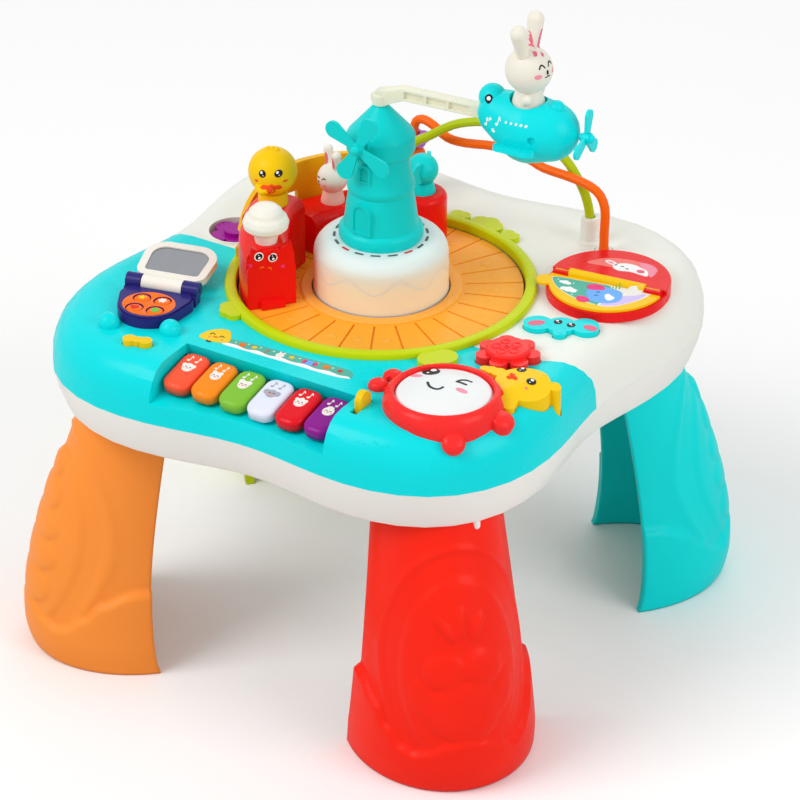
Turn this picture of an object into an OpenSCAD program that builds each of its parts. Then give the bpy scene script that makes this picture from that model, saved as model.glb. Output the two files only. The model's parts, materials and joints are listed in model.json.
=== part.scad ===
// Musical activity table: a lobed play top on four leg shells, with a turning train round
// an iced cake and windmill, a plane that flies on an arm above it, and a ring of keys,
// buttons, spinners and beads. Millimetres. The windmill's axis is the Z axis, the floor is
// z = 0 and the keyboard faces -Y.

/* [Table] */
// Height of the flat play surface above the floor
top_z = 270; // [240:1:310]
// Height of the covers from the seam to the play surface
cover_h = 42; // [38:1:48]
// Height of the base tray under the seam
tray_h = 32; // [28:1:38]
// Mean radius of the seam's outline
outline_r = 215.2; // [208:0.1:224]
// How far the lobes swing out and the sides swing in
lobe_swing = 25.6; // [18:0.1:30]
// Extra reach of the lobes on one diagonal
diagonal_stretch = 3.6; // [0:0.1:5]
// Width of the covers' rounded shoulder
shoulder_w = 30; // [20:1:34]
// How far the tray's lower rim draws in from the seam
rim_inset = 9; // [4:0.5:12]
// Wall of the covers and the tray
shell_wall = 2.6; // [2:0.1:3.4]
// Gap between the two covers at their parting line
parting_gap = 0.2; // [0.1:0.05:0.5]

/* [Legs] */
// Wall of the leg shells
leg_wall = 3; // [2.2:0.1:4]
// Radius from the axis to the open side of a leg at the tray
leg_top_r = 169; // [162:1:176]
// Depth of a leg's section at the tray
leg_top_depth = 56; // [50:1:60]
// Half width of a leg's section at the tray
leg_top_half = 46; // [40:1:50]
// Radius from the axis to the open side of a leg at the floor
leg_foot_r = 184; // [178:1:192]
// Depth of a leg's section at the floor
leg_foot_depth = 80; // [74:1:86]
// Half width of a leg's section at the floor
leg_foot_half = 65; // [60:1:70]
// How far a leg bows outwards between the tray and the floor
leg_bow = 9; // [4:0.5:12]
// Height of the foot band
band_h = 51; // [40:1:64]
// How far the foot band stands proud of the leg above it
band_lip = 5; // [2:0.5:7]
// Depth of the tray's spigots inside the legs
spigot_h = 20; // [12:1:30]

/* [Train track] */
// Outer radius of the turntable
disc_r = 104.6; // [100:0.1:105]
// Radius of the gap between the turntable and the cake's platform
disc_bore_r = 51; // [50.8:0.1:53]
// Number of sectors on the turntable
sectors = 26; // [12:1:30]
// Inner radius of the lime ring
ring_in_r = 106; // [105.8:0.1:108]
// Outer radius of the lime ring
ring_out_r = 115; // [112:0.5:120]
// How far the lime ring stands above the play surface
ring_h = 5; // [3:0.5:8]
// Radius of the middle of the train
track_r = 85.5; // [84:0.5:86.5]
// Width of the train
train_w = 37; // [30:0.5:38]
// Train position of the locomotive's nose, in degrees
nose_a = 233; // [225:1:240]

/* [Windmill and cake] */
// Radius of the cake
cake_r = 49.5; // [46:0.5:50]
// Height of the cake
cake_h = 41; // [36:1:46]
// Radius of the cake's rounded top edge
cake_round = 13; // [6:1:16]
// Height of the tower from the cake to the middle of the rotor
tower_h = 83; // [78:1:90]
// Length of a rotor blade from the middle of the hub
blade_l = 29; // [24:0.5:30]
// Radius of the drive shaft in the tower
shaft_r = 3; // [2.5:0.1:4]
// Running clearance of shafts in their bushings
run_gap = 0.06; // [0.03:0.01:0.1]

/* [Plane] */
// Radius of the plane's flight
flight_r = 118; // [112:1:124]
// Heading of the arm in the rest pose, in degrees
arm_a = 5; // [0:1:20]
// Height of the arm's underside above the rotor's hub
arm_rise = 31; // [30.5:0.5:36]
// Depth of the arm
arm_d = 9; // [7:0.5:11]
// Length of a propeller blade
prop_l = 21; // [16:0.5:22]

/* [Gears] */
// Gear module
gear_m = 2.5; // [2.5:0.1:2.5]
// Teeth of the motor pinion
pinion_t = 10; // [10:1:10]
// Teeth of the gear on the drive shaft
sun_t = 50; // [50:1:50]
// Width of the gears
gear_w = 9; // [6:0.5:11]

/* [Keyboard] */
// Number of keys
keys = 6; // [6:1:6]
// Distance from key to key
key_pitch = 23.8; // [22:0.1:24.4]
// Gap between keys
key_gap = 1.6; // [1:0.1:3]
// Length of a key
key_l = 39.5; // [36:0.5:41]
// Depth of a key
key_d = 9; // [8:0.5:10]
// Slope of the keyboard, in degrees
key_slope = 11.5; // [8:0.5:13]
// Middle of the keyboard across the table
keyboard_x = 1.5; // [-4:0.1:4]
// Far edge of the keyboard's recess
keyboard_y = -149.6; // [-152:0.1:-147]

/* [Phone] */
// Middle of the phone's hinge
phone_x = -124; // [-128:0.5:-120]
// Middle of the phone's hinge
phone_y = -101; // [-104:0.5:-98]
// Turn of the phone on the table, in degrees
phone_a = 13; // [0:1:20]
// Width of the phone
phone_w = 56; // [50:1:60]
// Length of the phone from its hinge
phone_l = 50; // [46:1:54]
// Height of the phone's base above the play surface
phone_h = 9; // [7:0.5:12]
// Tilt of the open lid, in degrees
lid_tilt = 10; // [6:1:20]

/* [Drum and animal buttons] */
// Middle of the drum
drum_x = 131.5; // [128:0.5:134]
// Middle of the drum
drum_y = -127; // [-130:0.5:-124]
// Radius of the drum's pad
drum_r = 34.5; // [32:0.5:36]
// Height of the drum's rim above the play surface
drum_h = 12; // [9:0.5:15]
// Free travel of the pads and buttons
press = 2; // [1:0.1:2.5]
// Clearance round every button
button_gap = 0.5; // [0.3:0.05:0.8]

/* [Book] */
// Middle of the book
book_x = 148; // [146:0.5:150]
// Middle of the book
book_y = 75; // [72:0.5:78]
// Radius of the book
book_r = 45; // [42:0.5:47]
// Height of the book's case above the play surface
book_h = 7; // [6:0.5:10]

/* [Bead wires] */
// Distance of the wires' right feet behind the axis
wire_y = 134.5; // [130:0.1:138]
// Thickness of the wires
wire_d = 7; // [5:0.5:8]

/* [Hidden] */
$fn = 96;
seam_z = top_z - cover_h;
tray_z = seam_z - tray_h;
floor_z = tray_z + shell_wall;
skin_z = top_z - shell_wall;
outline_n = 72;
lobe_angles = [225, 315, 45, 135];

// ---- Shared geometry ----

// Outline of the table at the seam, grown or drawn in
function outline(a, grow = 0) = outline_r + grow
    + lobe_swing * cos(4 * (a - 45)) + diagonal_stretch * sin(2 * a);
function outline_ring(grow, z) = [for (i = [0:outline_n - 1])
    let (a = i * 360 / outline_n) [outline(a, grow) * cos(a), outline(a, grow) * sin(a), z]];

// A closed solid through rings that hold the same number of points
module loft(rings) {
    n = len(rings[0]);
    last = len(rings) - 1;
    walls = [for (k = [0:last - 1], i = [0:n - 1]) let (j = (i + 1) % n)
        each [[k * n + i, (k + 1) * n + i, (k + 1) * n + j],
              [k * n + i, (k + 1) * n + j, k * n + j]]];
    caps = [[for (i = [0:n - 1]) i], [for (i = [n - 1:-1:0]) last * n + i]];
    polyhedron(points = [for (ring = rings) each ring], faces = concat(caps, walls));
}

// A round tube along a list of points that lie in one plane across Y
module tube(path, r, sides = 10) {
    last = len(path) - 1;
    loft([for (k = [0:last])
        let (ahead = path[min(k + 1, last)] - path[max(k - 1, 0)],
             t = ahead / norm(ahead), side = [t[2], 0, -t[0]])
        [for (i = [0:sides - 1]) let (a = -i * 360 / sides)
            path[k] + r * (cos(a) * side + sin(a) * [0, 1, 0])]]);
}

// Points of a smooth curve through control points, with steps between each pair
function spline(p, steps) = [for (k = [0:len(p) - 2], s = [0:steps - 1])
    let (a = p[max(k - 1, 0)], b = p[k], c = p[k + 1], d = p[min(k + 2, len(p) - 1)], t = s / steps)
    0.5 * (2 * b + (c - a) * t + (2 * a - 5 * b + 4 * c - d) * t * t
        + (3 * b - a - 3 * c + d) * t * t * t)];

function ellipse(a, b, from = 0, to = 360, n = 24) = [for (i = [0:n])
    let (t = from + (to - from) * i / n) [a * cos(t), b * sin(t)]];

module at(r, a, z = 0) { rotate(a) translate([r, 0, z]) children(); }

// ---- Covers and tray ----

// The outside of both covers, up to the play surface
// The shoulder is fuller than an ellipse
function bulge(x) = pow(max(x, 0), 0.8);
module cover_block(grow = 0) {
    loft([for (t = [0:15:90]) outline_ring(grow - shoulder_w * (1 - bulge(cos(t))),
        seam_z + (cover_h + grow) * bulge(sin(t)))]);
}

// Plan of the front cover: everything before the parting line, with its wave at the drum
seam_left_y = -11;
// Course of the parting line from the right rim to the track
seam_right = [[outline_r + 40, 22], [187, -13.4], [184.4, -17.4], [180.6, -22], [175.5, -26.6], [152, -41.2],
    [136, -47], [119, -45.3], [90, -44]];
module front_plan(gap) {
    far = outline_r + lobe_swing + 20;
    polygon([[-far, -far], [far, -far], for (p = seam_right) [p[0], p[1] - gap],
        [-ring_in_r, seam_left_y - gap], [-far, seam_left_y - gap]]);
}
module front_half() { linear_extrude(top_z + 1) front_plan(parting_gap / 2); }

well_r = ring_in_r + 1.5;
boss_r = 4.5;
screw_r = 1.5;
screw_head_r = 3;
screw_gap = 0.1;
cover_boss_drop = 20;
boss_top = top_z - shell_wall - cover_boss_drop;
screw_spots = [[-63, -136], [-115, -49], [70, -128], [118, -82], [165, -8], [63, 136], [-28, 123], [-136, 63]];
pilot_deep = 12;

// What the covers leave open: the track well, the keyboard and every pocket
module cover_openings() {
    translate([0, 0, seam_z - 1]) cylinder(r = well_r, h = cover_h + 2);
    keyboard_notch(0);
    phone_pocket();
    drum_pocket();
    translate([0, 0, top_z - shoulder_w]) linear_extrude(shoulder_w + 10) {
        flower_plan(button_gap);
        elephant_plan(button_gap);
        bow_plan(button_gap);
        duck_plan(button_gap);
    }
    lever_slot();
    spinner_pocket();
    book_pocket();
    wire_holes();
}

module cover_shell() {
    difference() {
        union() {
            difference() {
                cover_block();
                difference() {
                    translate([0, 0, -0.01]) loft([for (t = [0:15:90])
                        outline_ring(-shell_wall - shoulder_w * (1 - bulge(cos(t))),
                            seam_z + (cover_h - shell_wall) * bulge(sin(t)))]);
                    keyboard_notch(shell_wall);
                    translate([0, 0, seam_z - 1]) cylinder(r = well_r + shell_wall, h = cover_h);
                }
            }
            for (s = screw_spots) translate([s[0], s[1], boss_top]) cylinder(r = boss_r, h = cover_boss_drop + 1);
        }
        for (s = screw_spots) translate([s[0], s[1], boss_top - 1])
            cylinder(r = screw_r + screw_gap, h = pilot_deep + 2);
        cover_openings();
    }
}

module front_cover() {
    color("darkturquoise") {
        intersection() {
            cover_shell();
            front_half();
        }
        holding_balls();
    }
}

module rear_cover() {
    color("ivory") {
        difference() {
            union() {
                cover_shell();
                spinner_cup();
                wire_post();
            }
            wire_holes();
            linear_extrude(top_z + 9) front_plan(-parting_gap / 2);
        }
    }
}

tray_round = 3;
module base_tray() {
    color("whitesmoke") difference() {
        union() {
            difference() {
                loft([outline_ring(-rim_inset - tray_round, tray_z),
                    outline_ring(-rim_inset, tray_z + tray_round),
                    outline_ring(-rim_inset * 0.35, tray_z + tray_h * 0.6),
                    outline_ring(0, seam_z)]);
                loft([outline_ring(-rim_inset - shell_wall - 1, floor_z),
                    outline_ring(-shell_wall - 0.6, seam_z + 1)]);
            }
            for (s = screw_spots) translate([s[0], s[1], tray_z])
                cylinder(r = boss_r, h = boss_top - tray_z - parting_gap);
            for (a = lobe_angles) rotate(a) leg_spigot();
            battery_case();
            shaft_boss();
            housing_feet();
            speaker_ring();
            motor_cradle();
            board_posts();
        }
        for (s = screw_spots) translate([s[0], s[1], tray_z - 1]) {
            cylinder(r = screw_r + screw_gap, h = top_z);
            cylinder(r = screw_head_r + 0.3, h = 1 + screw_sink);
        }
        battery_space();
        shaft_bore();
        housing_screw_holes();
        speaker_grille();
    }
}

screw_sink = 4;
screw_head_h = 2.4;
module machine_screw(length) {
    cylinder(r = screw_r, h = length);
    translate([0, 0, -screw_head_h]) difference() {
        cylinder(r = screw_head_r, h = screw_head_h);
        for (a = [0, 90]) rotate(a) translate([-screw_head_r / 2, -0.4, -1]) cube([screw_head_r, 0.8, 2]);
    }
}
module case_screws() {
    color("silver") {
        for (s = screw_spots) translate([s[0], s[1], tray_z + screw_sink])
            machine_screw(boss_top + pilot_deep - tray_z - screw_sink);
        for (a = housing_angles) at(housing_foot_r, a, tray_z + screw_sink)
            machine_screw(housing_screw_l);
        at(door_screw_r, door_screw_a, tray_z + 1) machine_screw(door_screw_l);
    }
}

// ---- Legs ----

// Half an ellipse at one height of a leg, open towards the table's axis
leg_steps = 16;
function leg_mix(a, b, s) = a + (b - a) * s;
function leg_arc(z, lip, grow, tail) = let (
    s = z / tray_z, bow = leg_bow * sin(180 * pow(s, 0.7)),
    m = leg_mix(leg_foot_r, leg_top_r, s) + bow,
    d = leg_mix(leg_foot_depth, leg_top_depth, s) + bow * 0.62 + lip + grow,
    w = leg_mix(leg_foot_half, leg_top_half, s) + lip + grow)
    concat([[m - tail, -w, z]],
        [for (i = [0:leg_steps]) let (t = -90 + 180 * i / leg_steps) [m + d * cos(t), w * sin(t), z]],
        [[m - tail, w, z]]);
// Heights of the sections with the foot band's lip at each
leg_levels = [[0, 0.7], [band_h * 0.35, 1], [band_h * 0.88, 0.9], [band_h, 0.6], [band_h + 3, 0],
    [tray_z * 0.4, 0], [tray_z * 0.6, 0], [tray_z * 0.8, 0], [tray_z, 0]];
module leg_shell() {
    difference() {
        loft([for (v = leg_levels) leg_arc(v[0], v[1] * band_lip, 0, 0.01)]);
        translate([0, 0, -0.5]) leg_hollow();
    }
}
module leg_hollow() {
    last = len(leg_levels) - 1;
    loft(concat([for (v = leg_levels) leg_arc(v[0], v[1] * band_lip, -leg_wall, 20)],
        [[for (p = leg_arc(tray_z, 0, -leg_wall, 20)) p + [0, 0, 2]]]));
}
// The tray's spigot that the leg's top slides over
spigot_gap = 0.3;
module leg_spigot() {
    shape = ellipse(leg_top_depth - leg_wall - spigot_gap, leg_top_half - leg_wall - spigot_gap, -90, 90);
    hollow = ellipse(leg_top_depth - 2 * leg_wall - 1, leg_top_half - 2 * leg_wall - 1, -90, 90);
    translate([leg_top_r, 0, tray_z - spigot_h]) difference() {
        linear_extrude(spigot_h + 1) polygon(shape);
        translate([leg_wall, 0, -1]) linear_extrude(spigot_h + 1) polygon(hollow);
    }
}
module leg_orange() { color("darkorange") rotate(lobe_angles[0]) leg_shell(); }
module leg_red() { color("red") rotate(lobe_angles[1]) leg_shell(); }
module leg_teal() { color("turquoise") rotate(lobe_angles[2]) leg_shell(); }
module leg_lime() { color("yellowgreen") rotate(lobe_angles[3]) leg_shell(); }

// ---- Battery case, speaker, circuit board ----

cell_r = 7.1;
cell_l = 50;
cell_pitch = 15.5;
battery_y = -44;
battery_w = cell_l + 6;
battery_d = 3 * cell_pitch + 2;
battery_h = 2 * cell_r + 2;
door_t = 2.4;
door_rim = 3;
door_gap = 0.25;
door_screw_r = -battery_y + battery_d / 2 + 7;
door_screw_a = 270;
door_screw_l = 10;
module battery_case() {
    translate([-battery_w / 2 - 2, battery_y - battery_d / 2 - 2, tray_z])
        cube([battery_w + 4, battery_d + 4, door_t + battery_h + 2]);
    at(door_screw_r, door_screw_a, tray_z) cylinder(r = boss_r, h = door_screw_l + 4);
}
module battery_space() {
    translate([-battery_w / 2, battery_y - battery_d / 2, tray_z - 1])
        cube([battery_w, battery_d, door_t + battery_h + 1]);
    translate([0, 0, tray_z - 1]) linear_extrude(door_t + 1) door_plan(0);
    at(door_screw_r, door_screw_a, tray_z - 1) cylinder(r = screw_r + screw_gap, h = door_screw_l + 3);
}
module door_plan(inset) {
    translate([-battery_w / 2 - door_rim + inset, battery_y - battery_d / 2 - door_rim + inset])
        square([battery_w + 2 * door_rim - 2 * inset, battery_d + 2 * door_rim - 2 * inset]);
    translate([0, battery_y - battery_d / 2 - 6]) circle(r = 7 - inset);
}
module battery_door() {
    color("whitesmoke") difference() {
        translate([0, 0, tray_z]) linear_extrude(door_t - 0.1) door_plan(door_gap);
        at(door_screw_r, door_screw_a, tray_z - 1) {
            cylinder(r = screw_r + screw_gap, h = 6);
            cylinder(r = screw_head_r + 0.3, h = 2);
        }
    }
}
module battery_cells() {
    color("dimgray") for (i = [-1:1])
        translate([-cell_l / 2, battery_y + i * cell_pitch, tray_z + door_t + cell_r])
            rotate([0, 90, 0]) {
                cylinder(r = cell_r, h = cell_l - 1.5);
                translate([0, 0, cell_l - 1.6]) cylinder(r = 2.6, h = 1.6);
            }
}

speaker_at = [140, 45];
speaker_r = 26;
speaker_h = 14;
module speaker_ring() {
    at(speaker_at[0], speaker_at[1], floor_z - 1) difference() {
        cylinder(r = speaker_r + 2.2, h = 6);
        translate([0, 0, -1]) cylinder(r = speaker_r + 0.2, h = 8);
    }
}
grille_hole_r = 1.6;
module speaker_grille() {
    at(speaker_at[0], speaker_at[1], tray_z - 1) {
        cylinder(r = grille_hole_r, h = shell_wall + 2);
        for (a = [0:45:315]) rotate(a) translate([9, 0, 0]) cylinder(r = grille_hole_r, h = shell_wall + 2);
    }
}
module speaker() {
    color("dimgray") at(speaker_at[0], speaker_at[1], floor_z + 0.2) {
        rotate_extrude() polygon([[0, 7], [8, 7], [22, 1.5], [22, 0], [speaker_r, 0], [speaker_r, 2.5],
            [22, 3], [12, 9], [12, speaker_h], [0, speaker_h]]);
    }
}

board_size = [96, 44, 1.6];
board_at = [keyboard_x, -118];
board_z = floor_z + 12;
board_post_r = 3;
module board_posts() {
    for (x = [-1, 1], y = [-1, 1])
        translate([board_at[0] + x * (board_size[0] / 2 - 5), board_at[1] + y * (board_size[1] / 2 - 5),
            floor_z - 1]) cylinder(r = board_post_r, h = board_z - floor_z + 1);
}
module circuit_board() {
    translate([board_at[0], board_at[1], board_z]) {
        color("seagreen") translate([-board_size[0] / 2, -board_size[1] / 2, 0]) cube(board_size);
        color("black") for (x = [-24, 6, 30]) translate([x, -5, board_size[2]]) cube([12, 12, 2.4]);
        color("goldenrod") for (x = [-38, -10, 20, 40]) translate([x, 14, board_size[2]]) cylinder(r = 3, h = 7);
    }
}

// ---- Drive: motor, pinion, sun gear on the shaft, ring gear on the turntable ----

// The ring gear, pinion and sun gear share one module, so their teeth add up
ring_t = sun_t + 2 * pinion_t;
pinion_orbit = gear_m * (sun_t + pinion_t) / 2;
ring_gear_r = gear_m * ring_t / 2;
tooth_gap = 0.16;
motor_a = 90;
disc_top = top_z - 1.5;
disc_t = 6;
disc_bottom = disc_top - disc_t;
housing_top = disc_bottom - 0.3;
housing_t = 3;
gear_z = housing_top - 4 - housing_t - gear_w;

// One tooth of a gear, as points on its outline; the height runs outwards
function tooth(pitch_r, t, k, out) = let (
    step = 360 / t, a = k * step, half = step / 4 - tooth_gap / 2 / pitch_r * 57.3,
    root = pitch_r - out * gear_m * 1.15, tip = pitch_r + out * gear_m * 0.85,
    slope = half * 0.52)
    [[root, a - half - slope], [tip, a - half + slope], [tip, a + half - slope], [root, a + half + slope]];
function gear_points(pitch_r, t, out) = [for (k = [0:t - 1]) each
    [for (p = tooth(pitch_r, t, k, out)) [p[0] * cos(p[1]), p[0] * sin(p[1])]]];
module gear_plan(t, out = 1) { polygon(gear_points(gear_m * t / 2, t, out)); }

// Phases that put a pinion gap on the sun's tooth and a pinion tooth in the ring's gap
pinion_phase = motor_a + 180 + 180 / pinion_t;
ring_phase = motor_a + (pinion_t % 2 == 0 ? 0 : 180 / ring_t);
module drive_pinion() {
    color("gold") at(pinion_orbit, motor_a, gear_z) {
        rotate(pinion_phase - motor_a) linear_extrude(gear_w) gear_plan(pinion_t);
        translate([0, 0, -pinion_drop]) cylinder(r = motor_shaft_r, h = pinion_drop + 1);
    }
}
motor_shaft_r = 2.5;
motor_top = gear_z - 1;
pinion_drop = 11;
motor_size = [34, 26];
motor_h = motor_top - floor_z - 4;
module motor_cradle() {
    at(pinion_orbit, motor_a, floor_z - 1) translate([-motor_size[0] / 2 - 2, -motor_size[1] / 2 - 2, 0])
        difference() {
            cube([motor_size[0] + 4, motor_size[1] + 4, 9]);
            translate([2 - 0.2, 2 - 0.2, 5]) cube([motor_size[0] + 0.4, motor_size[1] + 0.4, 5]);
        }
}
module drive_motor() {
    at(pinion_orbit, motor_a, floor_z + 4) difference() {
        union() {
            color("white") translate([-motor_size[0] / 2, -motor_size[1] / 2, 0.1])
                cube([motor_size[0], motor_size[1], motor_h - 2.1]);
            color("white") translate([0, 0, motor_h - 3]) cylinder(r = 6, h = 3);
            color("silver") translate([-motor_size[0] / 2 + 9, 0, 15]) rotate([0, 90, 90])
                translate([0, 0, motor_size[1] / 2 - 1]) cylinder(r = 7.5, h = 22);
        }
        translate([0, 0, motor_h - pinion_drop]) cylinder(r = motor_shaft_r + run_gap, h = pinion_drop + 1);
    }
}

boss_shaft_r = 8;
shaft_seat_z = floor_z + 8;
module shaft_boss() { translate([0, 0, tray_z]) cylinder(r = boss_shaft_r, h = gear_z - 0.4 - tray_z); }
module shaft_bore() { translate([0, 0, shaft_seat_z]) cylinder(r = shaft_r + run_gap, h = top_z); }

// Fixed platform over the sun gear: it carries the cake, the tower and the turntable's glide rib
housing_angles = [30, 150, 210, 330];
housing_foot_r = 75;
housing_pillar_r = 4.6;
platform_r = cake_r + 0.5;
glide_r = 68;
housing_screw_l = 16;
housing_plate_r = ring_gear_r - gear_m * 0.85 - 2;
housing_z = housing_top - 4;
module gear_housing() {
    color("gainsboro") difference() {
        union() {
            translate([0, 0, housing_z - housing_t]) cylinder(r = housing_plate_r, h = housing_t);
            translate([0, 0, housing_z - 1]) cylinder(r = platform_r, h = top_z - housing_z + 1);
            translate([0, 0, housing_z - 1]) rotate_extrude()
                translate([glide_r, 0]) square([3, housing_top - housing_z + 1]);
            for (a = housing_angles) at(housing_foot_r, a, floor_z + housing_step)
                cylinder(r = housing_pillar_r, h = housing_z - floor_z - housing_step - 1);
        }
        translate([0, 0, housing_z]) cylinder(r = platform_r - 3, h = top_z - housing_z - 3);
        translate([0, 0, housing_z - housing_t - 1]) cylinder(r = shaft_r + run_gap, h = 100);
        translate([0, 0, top_z - 5]) cylinder(r = tower_foot_r + 0.1, h = 10);
        at(pinion_orbit, motor_a, housing_z - housing_t - 1)
            cylinder(r = gear_m * pinion_t / 2 + gear_m, h = housing_t + 2);
        for (a = housing_angles) at(housing_foot_r, a, floor_z)
            cylinder(r = screw_r + screw_gap, h = housing_screw_l + 4);
    }
}
housing_step = 6;
module housing_feet() {
    for (a = housing_angles) at(housing_foot_r, a, tray_z)
        cylinder(r = housing_pillar_r, h = floor_z + housing_step - tray_z - 0.05);
}
module housing_screw_holes() {
    for (a = housing_angles) at(housing_foot_r, a, tray_z - 1) {
        cylinder(r = screw_r + screw_gap, h = top_z);
        cylinder(r = screw_head_r + 0.3, h = 1 + screw_sink);
    }
}

// ---- Turntable and lime ring ----

collar_r = 60;
groove_w = 1.6;
groove_d = 1.4;
module turntable() {
    color("orange") {
        difference() {
            union() {
                translate([0, 0, disc_bottom]) cylinder(r = disc_r, h = disc_t);
                translate([0, 0, disc_top - 1]) rotate_extrude()
                    polygon([[disc_bore_r, 0], [collar_r, 0], [collar_r, 1.4], [collar_r - 1.5, 2.6],
                        [disc_bore_r + 1, 2.6], [disc_bore_r, 2]]);
            }
            translate([0, 0, disc_bottom - 1]) cylinder(r = disc_bore_r, h = disc_t + 8);
            for (a = car_angles) at(track_r, a, disc_bottom - 1) cylinder(r = car_pin_r + 0.1, h = disc_t + 2);
            for (k = [0:sectors - 1]) rotate((k + 0.5) * 360 / sectors)
                translate([collar_r + 2, -groove_w / 2, disc_top - groove_d])
                    cube([disc_r, groove_w, groove_d + 1]);
        }
        translate([0, 0, gear_z]) linear_extrude(disc_bottom - gear_z + 0.5) difference() {
            circle(r = ring_gear_r + gear_m * 2.4);
            rotate(ring_phase) gear_plan(ring_t, -1);
        }
    }
}

// Leaves of the lime ring: angle, number of lobes, and size
leaf_groups = [[234.6, 3, 1], [321, 2, 1.65], [68, 2, 0.9], [80, 3, 1.2], [92, 2, 0.9]];
leaf_r = 6;
module track_ring() {
    color("yellowgreen") {
        rotate_extrude() polygon([[ring_in_r, -2], [well_r - 0.3, -2], [well_r - 0.3, 0.1], [ring_out_r, 0.1],
            [ring_out_r, ring_h - 2.5], [ring_out_r - 1, ring_h - 0.8], [ring_out_r - 3, ring_h],
            [ring_in_r + 2.5, ring_h], [ring_in_r + 0.8, ring_h - 0.8], [ring_in_r, ring_h - 2.5]]
            + [for (i = [0:9]) [0, top_z]]);
        for (g = leaf_groups) at(ring_out_r - 1.5, g[0], top_z + 0.1) leaves(g[1], g[2]);
    }
}
module leaves(count, size) {
    r = leaf_r * size;
    linear_extrude(ring_h - 1.2) for (k = [0:count - 1]) let (turn = (k - (count - 1) / 2) * 52) rotate(turn) {
        translate([r * 1.15, 0]) circle(r = r);
        translate([0, -r * 0.7]) square([r * 1.2, r * 1.4]);
    }
}

// ---- Cake, tower, rotor ----

cake_top = top_z + cake_h;
cake_wall = 2.2;
function cake_profile(r, h, round) = concat([[0, 0], [r, 0]],
    [for (t = [0:15:90]) [r - round + round * cos(t), h - round + round * sin(t)]], [[0, h]]);
module cake_dome() {
    color("moccasin") translate([0, 0, top_z + 0.1]) difference() {
        rotate_extrude() polygon(cake_profile(cake_r, cake_h - 0.1, cake_round));
        translate([0, 0, -1]) rotate_extrude()
            polygon(cake_profile(cake_r - cake_wall, cake_h - cake_wall + 0.9, cake_round));
        translate([0, 0, cake_h - cake_wall - 2]) cylinder(r = tower_stem_r + 0.3, h = 6);
    }
}

hub_z = cake_top + tower_h;
tower_foot_r = 12;
tower_stem_r = 16;
tower_low_r = 25;
tower_waist_r = 23.5;
tower_neck_r = 20.5;
eave_r = 25;
roof_rise = 23;
// The tower's outline, from its flange on the cake up to the shaft's collar in the roof
module windmill_tower() {
    eave_z = tower_h - 14;
    tip_z = tower_h + roof_rise;
    color("turquoise") translate([0, 0, cake_top]) difference() {
        union() {
            rotate_extrude() polygon([[0, 0], [30, 0], [31, 2], [31, 7], [29.5, 9.5], [27.5, 10.5],
                [tower_low_r, tower_h * 0.36], [tower_waist_r, tower_h * 0.46], [tower_waist_r + 1, tower_h * 0.48],
                [tower_waist_r + 1.4, tower_h * 0.51], [tower_waist_r + 1, tower_h * 0.54],
                [tower_waist_r, tower_h * 0.56], [tower_neck_r, eave_z - 4], [tower_neck_r, eave_z - 2],
                [eave_r - 1, eave_z], [eave_r, eave_z + 2], [eave_r, tower_h - 1], [eave_r - 1, tower_h + 1],
                [5.6, tip_z - 1], [4.6, tip_z], [0, tip_z]]);
            translate([0, 0, -cake_h - 4.9]) cylinder(r = tower_foot_r, h = cake_h + 5);
            translate([0, 0, -cake_wall - 1]) cylinder(r = tower_stem_r, h = cake_wall + 2);
            tower_door();
            tower_window();
            translate([0, -eave_r + 6, tower_h]) rotate([90, 0, 0]) cylinder(r = 5.4, h = rotor_hub_y - 2);
        }
        translate([0, 0, 2.2]) rotate_extrude() polygon([[0, 0], [26, 0], [tower_low_r - 2.6, tower_h * 0.36],
            [tower_neck_r - 2.4, eave_z - 4], [tower_neck_r - 2.4, tower_h - 6], [0, tower_h - 6]]);
        translate([0, 0, -cake_h - 10]) cylinder(r = tower_foot_r - 2.4, h = cake_h + 14);
        translate([0, 0, tower_h - 8]) cylinder(r = shaft_r + run_gap, h = 60);
        translate([0, -eave_r + 12, tower_h]) rotate([90, 0, 0])
            cylinder(r = rotor_pin_r + run_gap, h = 40);
    }
}
module tower_door() {
    translate([0, -tower_low_r + 2, 12]) rotate([90, 0, 0]) {
        linear_extrude(4) { translate([-8, 0]) square([16, 16]); translate([0, 16]) circle(r = 8); }
        linear_extrude(5) difference() {
            union() { translate([-8, 0]) square([16, 16]); translate([0, 16]) circle(r = 8); }
            union() { translate([-6, 2]) square([12, 14]); translate([0, 16]) circle(r = 6); }
        }
    }
}
module tower_window() {
    translate([0, -tower_neck_r - 0.5, tower_h * 0.62]) rotate([90, 0, 0]) linear_extrude(2.4) difference() {
        union() { translate([-5, 0]) square([10, 9]); translate([0, 9]) circle(r = 5); }
        union() { translate([-3.4, 1.6]) square([6.8, 7.4]); translate([0, 9]) circle(r = 3.4); }
    }
}
rotor_hub_y = 8.6;
rotor_pin_r = 2;
rotor_y = -eave_r - 4.2;
blade_tilt = 62;
module windmill_rotor() {
    color("turquoise") translate([0, rotor_y, hub_z]) rotate([90, 0, 0]) {
        cylinder(r = 4.6, h = 5);
        translate([0, 0, 5]) sphere(r = 3.6);
        translate([0, 0, -14]) cylinder(r = rotor_pin_r, h = 15);
        for (k = [0:3]) rotate(blade_tilt + 90 * k) translate([0, 0, 1.4]) paddle(blade_l, 6.6, 2.2, 2);
    }
}
// A blade whose round end is wider than its root
module paddle(length, half, thick, root) {
    linear_extrude(thick) {
        translate([length - half, 0]) circle(r = half);
        polygon([[0, -root], [length - half, -half], [length - half, half], [0, root]]);
    }
}

// ---- Shaft, arm and plane ----

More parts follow.
